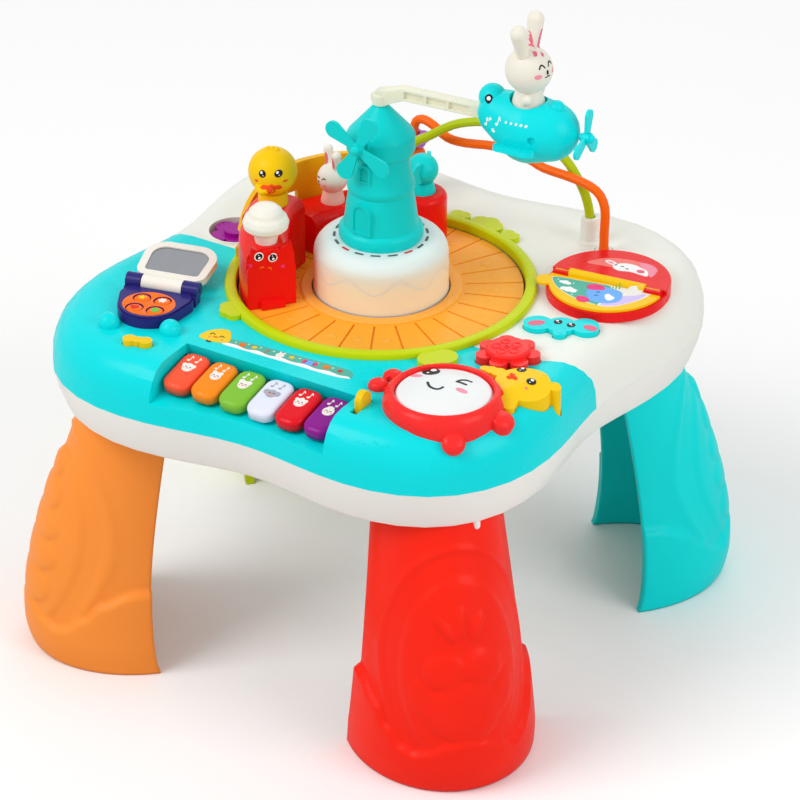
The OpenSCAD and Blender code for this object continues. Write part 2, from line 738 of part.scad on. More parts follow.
arm_z = hub_z + arm_rise;
roof_tip = hub_z + roof_rise;
module flyer_shaft() {
    color("silver") {
        translate([0, 0, shaft_seat_z + 0.1]) cylinder(r = shaft_r, h = arm_z + 2 - shaft_seat_z);
        translate([0, 0, gear_z]) linear_extrude(gear_w) rotate(motor_a) gear_plan(sun_t);
    }
}
arm_w = 8;
arm_in = flight_r - 31;
arm_wall = 1.6;
module flyer_arm() {
    color("ivory") rotate(arm_a) difference() {
        union() {
            translate([0, 0, arm_z - 7.5]) cylinder(r = 6.2, h = 7.6);
            rotate([90, 0, 0]) translate([0, arm_z, -arm_w / 2]) linear_extrude(arm_w)
                polygon([[-6, -5], [4, -7], [20, 0], [arm_in, 0], [arm_in, arm_d], [18, arm_d],
                    [8, arm_d - 3], [-3, 3], [-6, 0]]);
        }
        for (side = [-1, 1]) rotate([90, 0, 0]) translate([0, arm_z, side * (arm_w / 2 + 0.2) - 2.6])
            linear_extrude(5.2) for (k = [0:2]) translate([20 + k * 18, arm_wall])
                square([18 - arm_wall, arm_d - 2 * arm_wall]);
        translate([0, 0, arm_z - 20]) cylinder(r = shaft_r + 0.02, h = 22.5);
    }
}

plane_z = hub_z + 30;
module plane_hull() {
    hull() {
        translate([-22, 0, 7]) sphere(r = 17, $fn = 28);
        translate([0, 0, 0]) sphere(r = 25, $fn = 32);
        translate([16, 0, 1]) sphere(r = 21.5, $fn = 32);
        translate([31, 0, 2]) sphere(r = 7.5, $fn = 20);
    }
}
cockpit_r = 13.5;
cockpit_x = -1;
prop_pin_r = 1.6;
prop_x = 39;
module plane_body() {
    color("turquoise") rotate(arm_a) translate([flight_r, 0, plane_z]) difference() {
        union() {
            plane_hull();
            for (side = [-1, 1]) {
                translate([0, side * 22, -9]) rotate([side * 14, 0, 0]) translate([0, side * 6, 0])
                    linear_extrude(4) wing_plan();
            }
            translate([-29, 0, 18]) sphere(r = 10);
            translate([21, 0, 20]) sphere(r = 6);
        }
        translate([cockpit_x, 0, 6]) cylinder(r = cockpit_r, h = 40);
        translate([-60, -arm_w / 2 - 0.1, arm_z - plane_z - 0.1]) cube([60 - (flight_r - arm_in) + 0.1,
            arm_w + 0.2, arm_d + 0.2]);
        translate([prop_x - 14, 0, 2]) rotate([0, 90, 0]) cylinder(r = prop_pin_r + run_gap, h = 20);
        for (side = [-1, 1]) translate([12, side * 26, 2]) rotate([90, 0, 0]) translate([0, 0, -5])
            cylinder(r = 3, h = 10);
    }
}
module wing_plan() {
    translate([-9, 0]) circle(r = 6);
    translate([9, 0]) circle(r = 7);
    translate([-9, -6]) square([18, 12]);
}
module propeller() {
    color("turquoise") rotate(arm_a) translate([flight_r + prop_x, 0, plane_z + 2]) rotate([0, 90, 0]) {
        translate([0, 0, -12]) cylinder(r = prop_pin_r, h = 13);
        translate([0, 0, 3.4]) cylinder(r = 4.4, h = 5);
        translate([0, 0, 1]) cylinder(r = 3, h = 3);
        translate([0, 0, 8.4]) sphere(r = 3.4);
        for (k = [0:2]) rotate(168 + 120 * k) translate([0, 0, 4.4]) paddle(prop_l, 5, 2.2, 2.4);
    }
}
module pilot_bunny() {
    color("ivory") rotate(arm_a) translate([flight_r + cockpit_x, 0, plane_z + 6.2]) {
        rotate_extrude() polygon([[0, 0], [12.4, 0], [12.8, 3], [12, 14], [9, 25], [0, 27]]);
        translate([0, 0, 39.5]) sphere(r = 17);
        for (side = [-1, 1]) {
            translate([-1, side * 6.5, 48]) rotate([side * -17, -2, 0]) hull() {
                cylinder(r = 3.8, h = 2, $fn = 24);
                translate([0, 0, 25]) sphere(r = 6.2, $fn = 24);
            }
            translate([4, side * 10.5, 21]) rotate([side * -22, 35, 0]) hull() {
                sphere(r = 3.6, $fn = 20);
                translate([0, 0, -9]) sphere(r = 3, $fn = 20);
            }
        }
    }
}

// ---- Train ----

car_base = disc_top + 0.4;
// Locomotive, duck's car and bunny's car: middle angle, length in degrees, height
cars = [[nose_a - 15, 29, 47], [nose_a - 43, 22, 52], [nose_a - 86, 42, 30]];
tub_a = nose_a - 132;
tub_h = 37;
car_angles = [cars[0][0], cars[1][0], cars[2][0], tub_a];
car_heights = [cars[0][2], cars[1][2], cars[2][2], tub_h];
// A carriage is a slice of a ring whose section has round shoulders
module carriage(span, height) {
    round = 8;
    half = train_w / 2;
    rotate(-span / 2) rotate_extrude(angle = span) translate([track_r, 0]) polygon(concat(
        [[-half, 0], [half, 0]],
        [for (t = [0:18:90]) [half - round + round * cos(t), height - round + round * sin(t)]],
        [for (t = [90:18:180]) [-half + round + round * cos(t), height - round + round * sin(t)]]));
}
socket_gap = 0.2;
socket_deep = 8;
module train_cars() {
    color("red") translate([0, 0, car_base]) {
        difference() {
            rotate(cars[0][0]) carriage(cars[0][1], cars[0][2]);
            at(track_r, chimney_a, chimney_z) cylinder(r = chimney_stem_r + socket_gap, h = 30);
        }
        locomotive_face();
        difference() {
            rotate(cars[1][0]) carriage(cars[1][1], cars[1][2]);
            at(track_r, cars[1][0], cars[1][2] - socket_deep) cylinder(r = duck_neck_r + socket_gap, h = 10);
        }
        difference() {
            rotate(cars[2][0]) carriage(cars[2][1], cars[2][2]);
            at(track_r, cars[2][0], cars[2][2] - socket_deep) cylinder(r = bunny_foot_r + socket_gap, h = 10);
        }
        at(track_r, tub_a) difference() {
            rotate_extrude() polygon(cake_profile(train_w / 2, tub_h, 5));
            translate([0, 0, tub_h - socket_deep]) cylinder(r = elephant_foot_r + socket_gap, h = 10);
        }
        for (k = [0:2]) rotate(cars[k][0] - cars[k][1] / 2 - coupler_span / 2) rotate_extrude(angle = coupler_span)
            translate([track_r - 3, 2]) square([6, 5]);
    }
    color("red") for (a = car_angles) at(track_r, a, disc_top - 3) cylinder(r = car_pin_r, h = 4.4);
}
coupler_span = 12;
car_pin_r = 2.6;
module locomotive_face() {
    at(track_r, nose_a - 2, 0) rotate([90, 0, 180]) {
        linear_extrude(5) {
            translate([-train_w / 2, 0]) square([train_w, 30]);
            translate([0, 28]) circle(r = train_w / 2);
            for (side = [-1, 1]) polygon([[side * 17.5, 32], [side * 15.5, 51], [side * 5, 44]]);
        }
        translate([-9, 0, 4]) cube([18, 6, 5]);
    }
}
chimney_a = nose_a - 8;
chimney_z = cars[0][2] - socket_deep;
chimney_stem_r = 8;
module chimney_cloud() {
    color("ivory") at(track_r, chimney_a, car_base + chimney_z) {
        rotate_extrude() polygon([[0, 0], [chimney_stem_r, 0], [chimney_stem_r, socket_deep], [9.4, 15], [13, 17],
            [16.2, 20], [17, 24], [15.4, 28], [13, 30], [12, 33], [9, 36], [5, 37.5], [0, 38]]);
    }
}
duck_neck_r = 11;
bunny_foot_r = 9;
elephant_foot_r = 10;
module duck_rider() {
    head = cars[1][2] + 26;
    color("gold") at(track_r, car_angles[1], car_base) {
        translate([0, 0, cars[1][2] - socket_deep]) cylinder(r = duck_neck_r, h = 18);
        translate([0, 0, head]) sphere(r = 18);
        translate([0, 16, head - 7]) hull() {
            for (side = [-1, 1]) translate([side * 4, 0, 0]) sphere(r = 3.4, $fn = 16);
            translate([0, 4, -1]) sphere(r = 2.6, $fn = 16);
        }
        for (side = [-1, 0, 1]) translate([side * 3.4, 0, head + 17.4]) sphere(r = 2.4 - abs(side) * 0.4);
    }
}
module bunny_rider() {
    color("mistyrose") at(track_r, cars[2][0], car_base + cars[2][2] - socket_deep) {
        rotate_extrude() polygon([[0, 0], [bunny_foot_r, 0], [bunny_foot_r, 9], [7.5, 16], [6, 20], [0, 20]]);
        translate([0, 0, 27]) sphere(r = 11.5);
        for (side = [-1, 1]) translate([side * 5, 0, 34]) rotate([0, side * 10, 0]) hull() {
            cylinder(r = 2.2, h = 2, $fn = 16);
            translate([0, 0, 14]) sphere(r = 3.6, $fn = 16);
        }
    }
}
module elephant_rider() {
    color("turquoise") at(track_r, tub_a, car_base + tub_h - socket_deep) {
        rotate_extrude() polygon([[0, 0], [elephant_foot_r, 0], [elephant_foot_r, 9], [8, 16], [0, 18]]);
        translate([0, 0, 26]) sphere(r = 12);
        for (side = [-1, 1]) translate([side * 11, -1, 27]) rotate([90, 0, side * 20]) translate([0, 0, -1.5])
            cylinder(r = 8, h = 3);
        translate([0, 11, 22]) rotate([35, 0, 0]) hull() {
            sphere(r = 4.4, $fn = 20);
            translate([0, 2, -12]) sphere(r = 2.8, $fn = 20);
        }
    }
}

// ---- Arch over the ring ----

arch_mid = 149;
arch_half = 46;
arch_r = ring_in_r + 2.2;
arch_t = 4.4;
arch_h = 50;
// Height of the arch's top edge along its run
function arch_top(a) = arch_h * sqrt(max(0, 1 - pow(abs(a) / (arch_half + 3), 2.6)));
module track_arch() {
    color("gold") translate([0, 0, top_z + ring_h]) difference() {
        rotate(arch_mid - arch_half) rotate_extrude(angle = 2 * arch_half)
            translate([arch_r, 0.05]) square([arch_t, arch_h]);
        // The ends fall away in one smooth curve, cut straight through along the arch's middle line
        rotate(arch_mid) translate([-20, 0, 0]) rotate([90, 0, 90]) linear_extrude(arch_r + 40)
            difference() {
                translate([-arch_r - 10, 8]) square([2 * arch_r + 20, arch_h]);
                polygon([for (a = [-arch_half - 2.9:4.3:arch_half + 3]) [arch_r * sin(a), max(7, arch_top(a))]]);
            }
        for (side = [-1, 1]) rotate(arch_mid + side * (arch_half * 0.46) - 13) rotate_extrude(angle = 26)
            translate([arch_r - 2, 12]) square([arch_t + 4, 15]);
    }
}

// ---- Bead wires ----

// Each wire stands in its own upright plane between a right and a left foot on the cover
wire_feet = [[[96, wire_y + 5.8], [-54, wire_y - 9.5]], [[114.4, wire_y - 5.6], [-60, wire_y + 8.5]]];
function foot_span(w) = norm(wire_feet[w][1] - wire_feet[w][0]);
function foot_turn(w) = atan2(wire_feet[w][1][1] - wire_feet[w][0][1], wire_feet[w][1][0] - wire_feet[w][0][0]);
// Routes: distance from the right foot and height above the play surface
green_route = [[0, -6], [0, 10], [1, 24], [5, 38], [12, 51], [22, 63.5], [38, 74], [58, 79.5], [78, 80.5],
    [95, 78], [114, 71], [133, 58], [145, 50], [foot_span(0), 40], [foot_span(0), 14], [foot_span(0), -6]];
orange_route = [[0, -6], [0, 16], [0, 37], [8, 49], [28, 53], [55, 53.5], [70, 57], [98, 58.5], [127, 53],
    [144, 52.5], [157, 59], [168, 61], [foot_span(1), 53], [foot_span(1), 26], [foot_span(1), -6]];
wire_r = wire_d / 2;
module wire(w, route) {
    translate([wire_feet[w][0][0], wire_feet[w][0][1], top_z]) rotate(foot_turn(w))
        tube(spline([for (p = route) [p[0], 0, p[1]]], 3), wire_r);
}
module green_wire() { color("yellowgreen") wire(0, green_route); }
module orange_wire() { color("orangered") wire(1, orange_route); }
wire_gap = 0.3;
module wire_holes() {
    for (w = [0, 1], side = [0, 1]) translate([wire_feet[w][side][0], wire_feet[w][side][1], top_z - 8])
        cylinder(r = wire_r + wire_gap, h = 40);
}
// White sockets that hold the wires: tall ones, and a low one at the orange wire's right foot
socket_h = 20;
low_socket_h = 3;
module wire_post() {
    for (w = [0, 1], side = [0, 1]) let (h = w == 1 && side == 0 ? low_socket_h : socket_h)
        translate([wire_feet[w][side][0], wire_feet[w][side][1], top_z - 8]) {
            cylinder(r = 7, h = 8);
            translate([0, 0, 7]) rotate_extrude() polygon([[0, 0], [9.4, 0], [9.4, 1.5], [7.4, 3],
                [7, h - 1.5], [6, h + 1], [0, h + 1]]);
        }
}
bead_gap = 1.1;
bead_r = 9;
bead_base = top_z + socket_h + 0.4;
module bead_at(w, z) { translate([wire_feet[w][1][0], wire_feet[w][1][1], z]) children(); }
module bead_bore() { translate([0, 0, -bead_r - 1]) cylinder(r = wire_r + bead_gap, h = 2 * bead_r + 2); }
module bead_flower() {
    color("mediumorchid") bead_at(1, bead_base + 2 * bead_r + 4.6) difference() {
        union() {
            translate([0, 0, -4.5]) cylinder(r = 7, h = 9);
            for (k = [0:4]) rotate(72 * k - 26) translate([7.6, 0, 0]) sphere(r = 5);
        }
        bead_bore();
    }
}
module bead_round() {
    color("orangered") bead_at(1, bead_base + bead_r - 1) difference() {
        sphere(r = bead_r);
        bead_bore();
    }
}
module bead_lilac() {
    color("plum") bead_at(0, bead_base + bead_r - 1) difference() {
        sphere(r = bead_r);
        bead_bore();
    }
}

// ---- Keyboard ----

key_drop = 4;
shelf_deep = 12;
keyboard_w = keys * key_pitch + 1.4;
axle_y = -5;
axle_z = -6;
axle_r = 1.5;
module keyboard_place() { translate([keyboard_x, keyboard_y, top_z - key_drop]) rotate([key_slope, 0, 0]) children(); }
// Space over the key bed; grown, it keeps the bed's own wall out of the hollow
module keyboard_notch(grow) {
    keyboard_place() difference() {
        translate([-keyboard_w / 2 - grow, -90, -shelf_deep - grow])
            cube([keyboard_w + 2 * grow, 90 + 1.2 + grow, 60]);
    }
    if (grow == 0) keyboard_place() translate([-keyboard_w / 2, -12, -shelf_deep - 8])
        cube([keyboard_w, 13, 9]);
}
module key(k) {
    x = (k - (keys - 1) / 2) * key_pitch;
    w = key_pitch - key_gap;
    nose = 5;
    corner = 5.5;
    keyboard_place() difference() {
        intersection() {
            translate([x - w / 2, 0, 0]) rotate([90, 0, 90]) linear_extrude(w) union() {
                polygon(concat([[-1, 0], [-1, -key_d]],
                    [[-key_l + 2, -key_d], [-key_l, -key_d + 2]],
                    [for (t = [180:-15:90]) [-key_l + nose + nose * cos(t), -nose + nose * sin(t)]]));
            }
            translate([x, 0, -key_d - 1]) linear_extrude(key_d + 2) hull() for (s = [-1, 1]) {
                translate([s * (w / 2 - corner), -key_l + corner]) circle(r = corner, $fn = 32);
                translate([s * (w / 2 - 3), -1 - 3]) circle(r = 3, $fn = 24);
            }
        }
        translate([x - w, axle_y, axle_z]) rotate([0, 90, 0]) cylinder(r = axle_r + run_gap, h = 2 * w);
    }
}
module key_1() { color("tomato") key(0); }
module key_2() { color("orange") key(1); }
module key_3() { color("yellowgreen") key(2); }
module key_4() { color("white") key(3); }
module key_5() { color("crimson") key(4); }
module key_6() { color("purple") key(5); }
// The keys' axle on its bearers, fixed under the far edge of the key bed
module key_frame() {
    color("dimgray") keyboard_place() {
        for (k = [0:keys]) translate([(k - keys / 2) * key_pitch - key_gap * 0.3, axle_y - 3, -shelf_deep - 3])
            cube([key_gap * 0.6, 6, shelf_deep + 3 + axle_z + 3]);
        translate([-keyboard_w / 2 + 0.4, axle_y, axle_z]) rotate([0, 90, 0])
            cylinder(r = axle_r, h = keyboard_w - 0.8);
        translate([-keyboard_w / 2 + 3.4, -11.4, -shelf_deep - 4]) cube([keyboard_w - 6.8, 11.8, 2.4]);
    }
}

// ---- Phone ----

barrel_r = 6;
barrel_z = top_z + phone_h + 1;
module phone_place() { translate([phone_x, phone_y, top_z]) rotate(phone_a) children(); }
// Plan of the phone: a rounded body that narrows away from its hinge
module phone_plan(inset = 0) {
    hull() {
        translate([0, -phone_l + 24]) circle(r = 24 - inset, $fn = 48);
        for (side = [-1, 1]) translate([side * (phone_w / 2 - 12), -14]) circle(r = 12 - inset, $fn = 32);
    }
}
module phone_pocket() {
    phone_place() translate([0, 0, -8]) linear_extrude(20) phone_stem(0.2);
}
module phone_stem(grow) { translate([0, -26]) circle(r = 14 + grow); }
hinge_pin_r = 1.5;
knuckle_w = 12;
pin_clear = 0.05;
module phone_base() {
    color("midnightblue") phone_place() difference() {
        union() {
            translate([0, 0, 0.1]) linear_extrude(phone_h - 1.5) phone_plan();
            translate([0, 0, 0.1]) linear_extrude(phone_h) phone_plan(1.5);
            translate([0, 0, -7]) linear_extrude(8) phone_stem(0);
            for (side = [-1, 1]) translate([side * (phone_w / 2 - knuckle_w / 2), 0, 0]) {
                translate([0, 0, barrel_z - top_z]) rotate([0, 90, 0]) translate([0, 0, -knuckle_w / 2])
                    cylinder(r = barrel_r, h = knuckle_w);
                translate([-knuckle_w / 2, -8, 0.1]) cube([knuckle_w, 10, phone_h - 1]);
            }
        }
        translate([-phone_w, 0, barrel_z - top_z]) rotate([0, 90, 0])
            cylinder(r = hinge_pin_r + pin_clear, h = 2 * phone_w);
        translate([-phone_w / 2 + knuckle_w - 0.3, -barrel_r - 0.7, 0.05])
            cube([phone_w - 2 * knuckle_w + 0.6, 30, 30]);
        translate([0, 0, 2]) linear_extrude(20) button_holes();
    }
}
button_spots = [[-8, -22], [8, -22], [-8, -37], [8, -37]];
phone_button_r = 6.3;
module button_holes() { for (p = button_spots) translate(p) circle(r = phone_button_r + 0.3); }
phone_press = 1.2;
module phone_button(k) {
    color("darkorange") phone_place() translate([button_spots[k][0], button_spots[k][1], 2 + phone_press + 0.2])
        rotate_extrude() let (h = phone_h - phone_press - 1.4) polygon([[0, 0], [phone_button_r, 0],
            [phone_button_r, h - 1.6], [phone_button_r - 1.2, h - 0.6], [phone_button_r - 3.4, h - 0.1], [0, h]]);
}
module phone_button_1() { phone_button(0); }
module phone_button_2() { phone_button(1); }
module phone_button_3() { phone_button(2); }
module phone_button_4() { phone_button(3); }

lid_t = 5.5;
module lid_place() {
    phone_place() translate([0, 0, barrel_z - top_z]) rotate([lid_tilt, 0, 0]) children();
}
module lid_plan(inset = 0) {
    hull() {
        for (side = [-1, 1]) translate([side * (phone_w / 2 - 16), phone_l - 16]) circle(r = 16 - inset, $fn = 40);
        for (side = [-1, 1]) translate([side * (phone_w / 2 - 10), 18]) circle(r = 9 - inset, $fn = 32);
    }
}
lid_neck_w = phone_w - 2 * knuckle_w - 0.8;
module phone_lid() {
    color("ivory") lid_place() difference() {
        union() {
            translate([0, 0, -lid_t]) linear_extrude(lid_t) lid_plan();
            translate([-lid_neck_w / 2, 0, 0]) rotate([0, 90, 0]) cylinder(r = barrel_r - 0.1, h = lid_neck_w);
            translate([-lid_neck_w / 2, 0, -lid_t + 1]) cube([lid_neck_w, 14, lid_t - 1]);
        }
        translate([0, 0, -2]) linear_extrude(5) mirror_plan(0.15);
        translate([-phone_w, 0, 0]) rotate([0, 90, 0]) cylinder(r = hinge_pin_r + pin_clear, h = 2 * phone_w);
    }
    color("silver") phone_place() translate([-phone_w / 2 + 1, 0, barrel_z - top_z]) rotate([0, 90, 0])
        cylinder(r = hinge_pin_r, h = phone_w - 2);
}
module mirror_plan(grow) { lid_plan(6 - grow); }
module phone_mirror() {
    color("lightsteelblue") lid_place() translate([0, 0, -1.9]) linear_extrude(0.9) mirror_plan(0);
}
ball_r = 8;
module holding_balls() {
    phone_place() for (p = [[-22, -52], [24, -48]]) translate([p[0], p[1], 2]) sphere(r = ball_r);
}

// ---- Bow button and lever ----

bow_at = [-100, -169];
module bow_plan(grow) {
    translate(bow_at) rotate(15) {
        circle(r = 4 + grow);
        for (side = [-1, 1]) translate([side * 6, 0]) circle(r = 5 + grow);
    }
}
bow_skirt = 8.5;
flower_skirt = 6;
elephant_skirt = 12.5;
flange_w = 1.5;
flange_t = 2;
// A cap whose top keeps the same height above the cover all over
module relief(rise, skirt) {
    intersection() {
        translate([0, 0, top_z - skirt]) linear_extrude(skirt + rise + 1) children();
        cover_block(rise);
    }
}
// A cap with a flange at its foot that keeps it from coming out of the cover
module cap(rise, skirt) {
    translate([0, 0, top_z - skirt]) linear_extrude(skirt + rise) children(0);
    translate([0, 0, top_z - skirt]) linear_extrude(flange_t) children(1);
}
module bow_button() {
    color("gold") cap(4, bow_skirt) { bow_plan(0); bow_plan(button_gap + flange_w); }
}
lever_x = 84;
lever_y = -160;
lever_w = 5;
slot_l = 22;
module lever_slot() {
    translate([lever_x - lever_w / 2 - 0.4, lever_y - slot_l / 2, top_z - 30]) cube([lever_w + 0.8, slot_l, 60]);
}
module selector_lever() {
    color("gold") translate([lever_x, lever_y + 2, top_z]) {
        translate([-lever_w / 2, 0, 0]) rotate([90, 0, 90]) linear_extrude(lever_w) {
            translate([0, 4.5]) circle(r = 7);
            translate([-7, -14]) square([14, 18]);
        }
    }
}

// ---- Drum and animal buttons ----

drum_rim = 9;
drum_deep = 16;
// Section of the drum's rounded rim, from the pad's edge outwards, down to z
function drum_section(down) = let (r = drum_r + button_gap, w = drum_rim - button_gap) concat(
    [[r, -down], [r, drum_h - 1], [r + 1.2, drum_h]],
    [for (t = [80:-16:0]) [r + 1.5 + (w - 1.5) * cos(t), drum_h * sin(t)]], [[r + w, -down]]);
// Round lobes at the drum's edge: angle, distance, radius, tilt, how far above the play surface
drum_lobes = [[-50, 44.5, 8.5, 44, -6], [4, 45, 9.5, 24, -2], [166, 51, 7.5, 0, 0], [184, 52, 7.5, 0, 0]];
module drum_pocket() {
    translate([drum_x, drum_y, top_z - 40]) cylinder(r = drum_r + 2, h = 60);
}
module drum_body() {
    color("red") difference() {
        union() {
            translate([drum_x, drum_y, top_z]) rotate_extrude() polygon(drum_section(drum_deep));
            for (l = drum_lobes) translate([drum_x, drum_y, top_z + l[4]]) rotate(l[0]) {
                translate([l[1], 0, 0]) rotate([0, l[3], 0]) rotate_extrude() polygon([[0, -9], [l[2], -9],
                    [l[2], 2], [l[2] * 0.88, 4], [l[2] * 0.6, 5.6], [0, 6.4]]);
                translate([drum_r + 3, -l[2] * 0.6, -9]) cube([l[1] - drum_r - 3, l[2] * 1.2, 12]);
            }
            translate([drum_x + 9, drum_y + drum_r, top_z - drum_deep]) rotate(-22) cube([24, 16, drum_deep + 4]);
        }
        cover_block(0.1);
        translate([drum_x, drum_y, top_z - 40]) cylinder(r = drum_r + button_gap, h = 80);
        translate([drum_x, drum_y, top_z - drum_deep]) rotate(drum_lobes[2][0] + 9) translate([48.5, 0, 0])
            cylinder(r = 2.6, h = 80);
        linear_extrude(top_z + 40) {
            duck_plan(button_gap);
            flower_plan(button_gap);
        }
    }
    color("red") translate([drum_x, drum_y, top_z - drum_deep]) difference() {
        cylinder(r = drum_r + 1.8, h = drum_deep + 2);
        translate([0, 0, 2]) cylinder(r = drum_r + button_gap, h = 80);
    }
}
module drum_pad() {
    color("white") translate([drum_x, drum_y, top_z - drum_deep + 2 + press + 0.3]) rotate_extrude()
        polygon([[0, 0], [drum_r, 0], [drum_r, drum_deep + drum_h - 6 - press], [drum_r - 1.5, drum_deep + drum_h - 4.4 - press],
            [drum_r * 0.6, drum_deep + drum_h - 2.2 - press], [0, drum_deep + drum_h - 1.4 - press]]);
}
flower_at = [136, -47];
module flower_plan(grow) {
    translate(flower_at) {
        circle(r = 14 + grow);
        for (k = [0:6]) rotate(360 / 7 * k + 20) translate([17, 0]) circle(r = 6.5 + grow);
    }
}
module flower_button() {
    color("red") {
        cap(6, flower_skirt) { flower_plan(0); flower_plan(button_gap + flange_w); }
        translate([flower_at[0], flower_at[1], top_z + 5]) rotate_extrude()
            polygon([[0, 0], [16, 0], [16, 3.6], [14.4, 4.8], [0, 5.6]]);
    }
}
duck_at = [168.5, -81];
duck_skirt = 22;
// The duck's round body, its two wings and its tuft: offset from the middle, radius
duck_lobes = [[0, 0, 20], [-22, 3.5, 5.5], [-28, 3.5, 4.6], [-33, 3, 3.4], [2, -22, 6], [4, -27, 5], [19.5, 11, 4.5]];
module duck_plan(grow) {
    for (l = duck_lobes) translate([duck_at[0] + l[0], duck_at[1] + l[1]]) circle(r = l[2] + grow);
}
module duck_button() {
    color("gold") difference() {
        translate([0, 0, top_z - duck_skirt]) linear_extrude(duck_skirt + 7) duck_plan(0);
        translate([duck_at[0], duck_at[1], top_z + 7]) rotate([0, 0, -26]) rotate([0, 14, 0])
            translate([-60, -60, 0]) cube([120, 120, 30]);
    }
}
elephant_at = [146.4, 10.6];
module elephant_plan(grow) {
    translate(elephant_at) rotate(24) {
        circle(r = 11 + grow);
        for (side = [-1, 1]) translate([side * 17, 1]) circle(r = 10.5 + grow);
        translate([0, -11]) circle(r = 5 + grow);
    }
}
module elephant_button() {
    color("turquoise") {
        relief(3.5, elephant_skirt) elephant_plan(0);
        translate([0, 0, top_z - elephant_skirt]) linear_extrude(flange_t) elephant_plan(button_gap + flange_w);
    }
}

// ---- Flower spinner ----

spin_at = [-136.5, 12.7];
spin_r = 19.5;
spin_gap = 0.8;
spin_wall = 1.3;
spin_deep = 7;
spin_pin_r = 2;
module spinner_pocket() {
    translate([spin_at[0], spin_at[1], top_z - spin_deep]) cylinder(r = spin_r + spin_gap, h = 20);
}
module spinner_cup() {
    translate([spin_at[0], spin_at[1], top_z - spin_deep - shell_wall]) difference() {
        cylinder(r = spin_r + spin_gap + spin_wall, h = spin_deep + shell_wall + 1.2);
        translate([0, 0, shell_wall]) cylinder(r = spin_r + spin_gap, h = spin_deep + 2);
    }
    translate([spin_at[0], spin_at[1], top_z - spin_deep - 1]) cylinder(r = spin_pin_r, h = 7.5);
}
module flower_spinner() {
    color("purple") translate([spin_at[0], spin_at[1], top_z - spin_deep + 0.3]) difference() {
        union() {
            linear_extrude(6) for (k = [0:4]) rotate(72 * k + 18) translate([spin_r - 8, 0]) circle(r = 8);
            cylinder(r = 9, h = 9);
        }
        translate([0, 0, -1]) cylinder(r = spin_pin_r + run_gap, h = 8);
    }
}

// ---- Book ----

book_a = 7;
fold_r = 3.4;
fold_pin_r = 1.2;
module book_place() { translate([book_x, book_y, top_z]) rotate(book_a) children(); }
module book_pocket() { book_place() translate([0, 0, -10]) cylinder(r = 12.2, h = 30); }
module half_disc(r, h) { intersection() { cylinder(r = r, h = h); translate([-r, 0, 0]) cube([2 * r, r, h]); } }
fold_z = book_h + fold_r + 0.2;
module book_case() {
    color("red") book_place() difference() {
        union() {
            translate([0, 0, 0.1]) cylinder(r = book_r, h = book_h - 0.1);
            translate([0, 0, -6]) cylinder(r = 12, h = 7);
            translate([0, fold_r + 0.6, 0]) half_disc(book_r, book_h + 3);
            for (side = [-1, 1]) translate([side * (book_r - 9), -fold_r, 0.1])
                translate([-6, 0, 0]) cube([12, 2 * fold_r, fold_z + 1]);
        }
        translate([-book_r, 0, fold_z]) rotate([0, 90, 0]) cylinder(r = fold_pin_r + run_gap, h = 2 * book_r);
    }
}
page_t = 2;
module book_page() {
    inner = 2 * (book_r - 15) - 0.6;
    color("gold") book_place() {
        translate([-inner / 2, 0, fold_z]) rotate([0, 90, 0]) cylinder(r = fold_r, h = inner);
        translate([-book_r + 4, 0, fold_z]) rotate([0, 90, 0]) cylinder(r = fold_pin_r, h = 2 * book_r - 8);
        translate([0, 0, book_h + 0.3]) rotate(180) intersection() {
            union() {
                cylinder(r = book_r - 2, h = page_t);
                translate([book_r - 2, 14, 0]) cylinder(r = 7, h = page_t);
            }
            translate([-2 * book_r, fold_r + 0.4, 0]) cube([4 * book_r, 2 * book_r, 10]);
        }
        translate([-inner / 2, -fold_r - 3, book_h + 0.3]) cube([inner, fold_r + 2, page_t]);
    }
}

// ---- Nodes ----

base_tray();
front_cover();
rear_cover();
track_ring();
leg_orange();
leg_red();
leg_teal();
leg_lime();
case_screws();
battery_door();
battery_cells();
circuit_board();
speaker();
gear_housing();
drive_motor();
cake_dome();
windmill_tower();
track_arch();
green_wire();
orange_wire();
key_frame();
phone_base();
drum_body();
book_case();
turntable();
train_cars();
chimney_cloud();
duck_rider();
bunny_rider();
elephant_rider();
flyer_shaft();
flyer_arm();
plane_body();
pilot_bunny();
propeller();
windmill_rotor();
drive_pinion();
key_1();
key_2();
key_3();
key_4();
key_5();
key_6();
phone_lid();
phone_mirror();
phone_button_1();
phone_button_2();
phone_button_3();
phone_button_4();
bow_button();
selector_lever();
drum_pad();
flower_button();
duck_button();
elephant_button();
book_page();
flower_spinner();
bead_flower();
bead_round();
bead_lilac();
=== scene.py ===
"""Looks of the musical activity table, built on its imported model. Lengths in tables are in mm, and places in
the photo are in px of its 800 x 800 frame."""
import json
from math import atan2, ceil, copysign, cos, exp, hypot, pi, radians, sin, sqrt

import bmesh
import bpy
from mathutils import Matrix, Vector, geometry
from mathutils.bvhtree import BVHTree

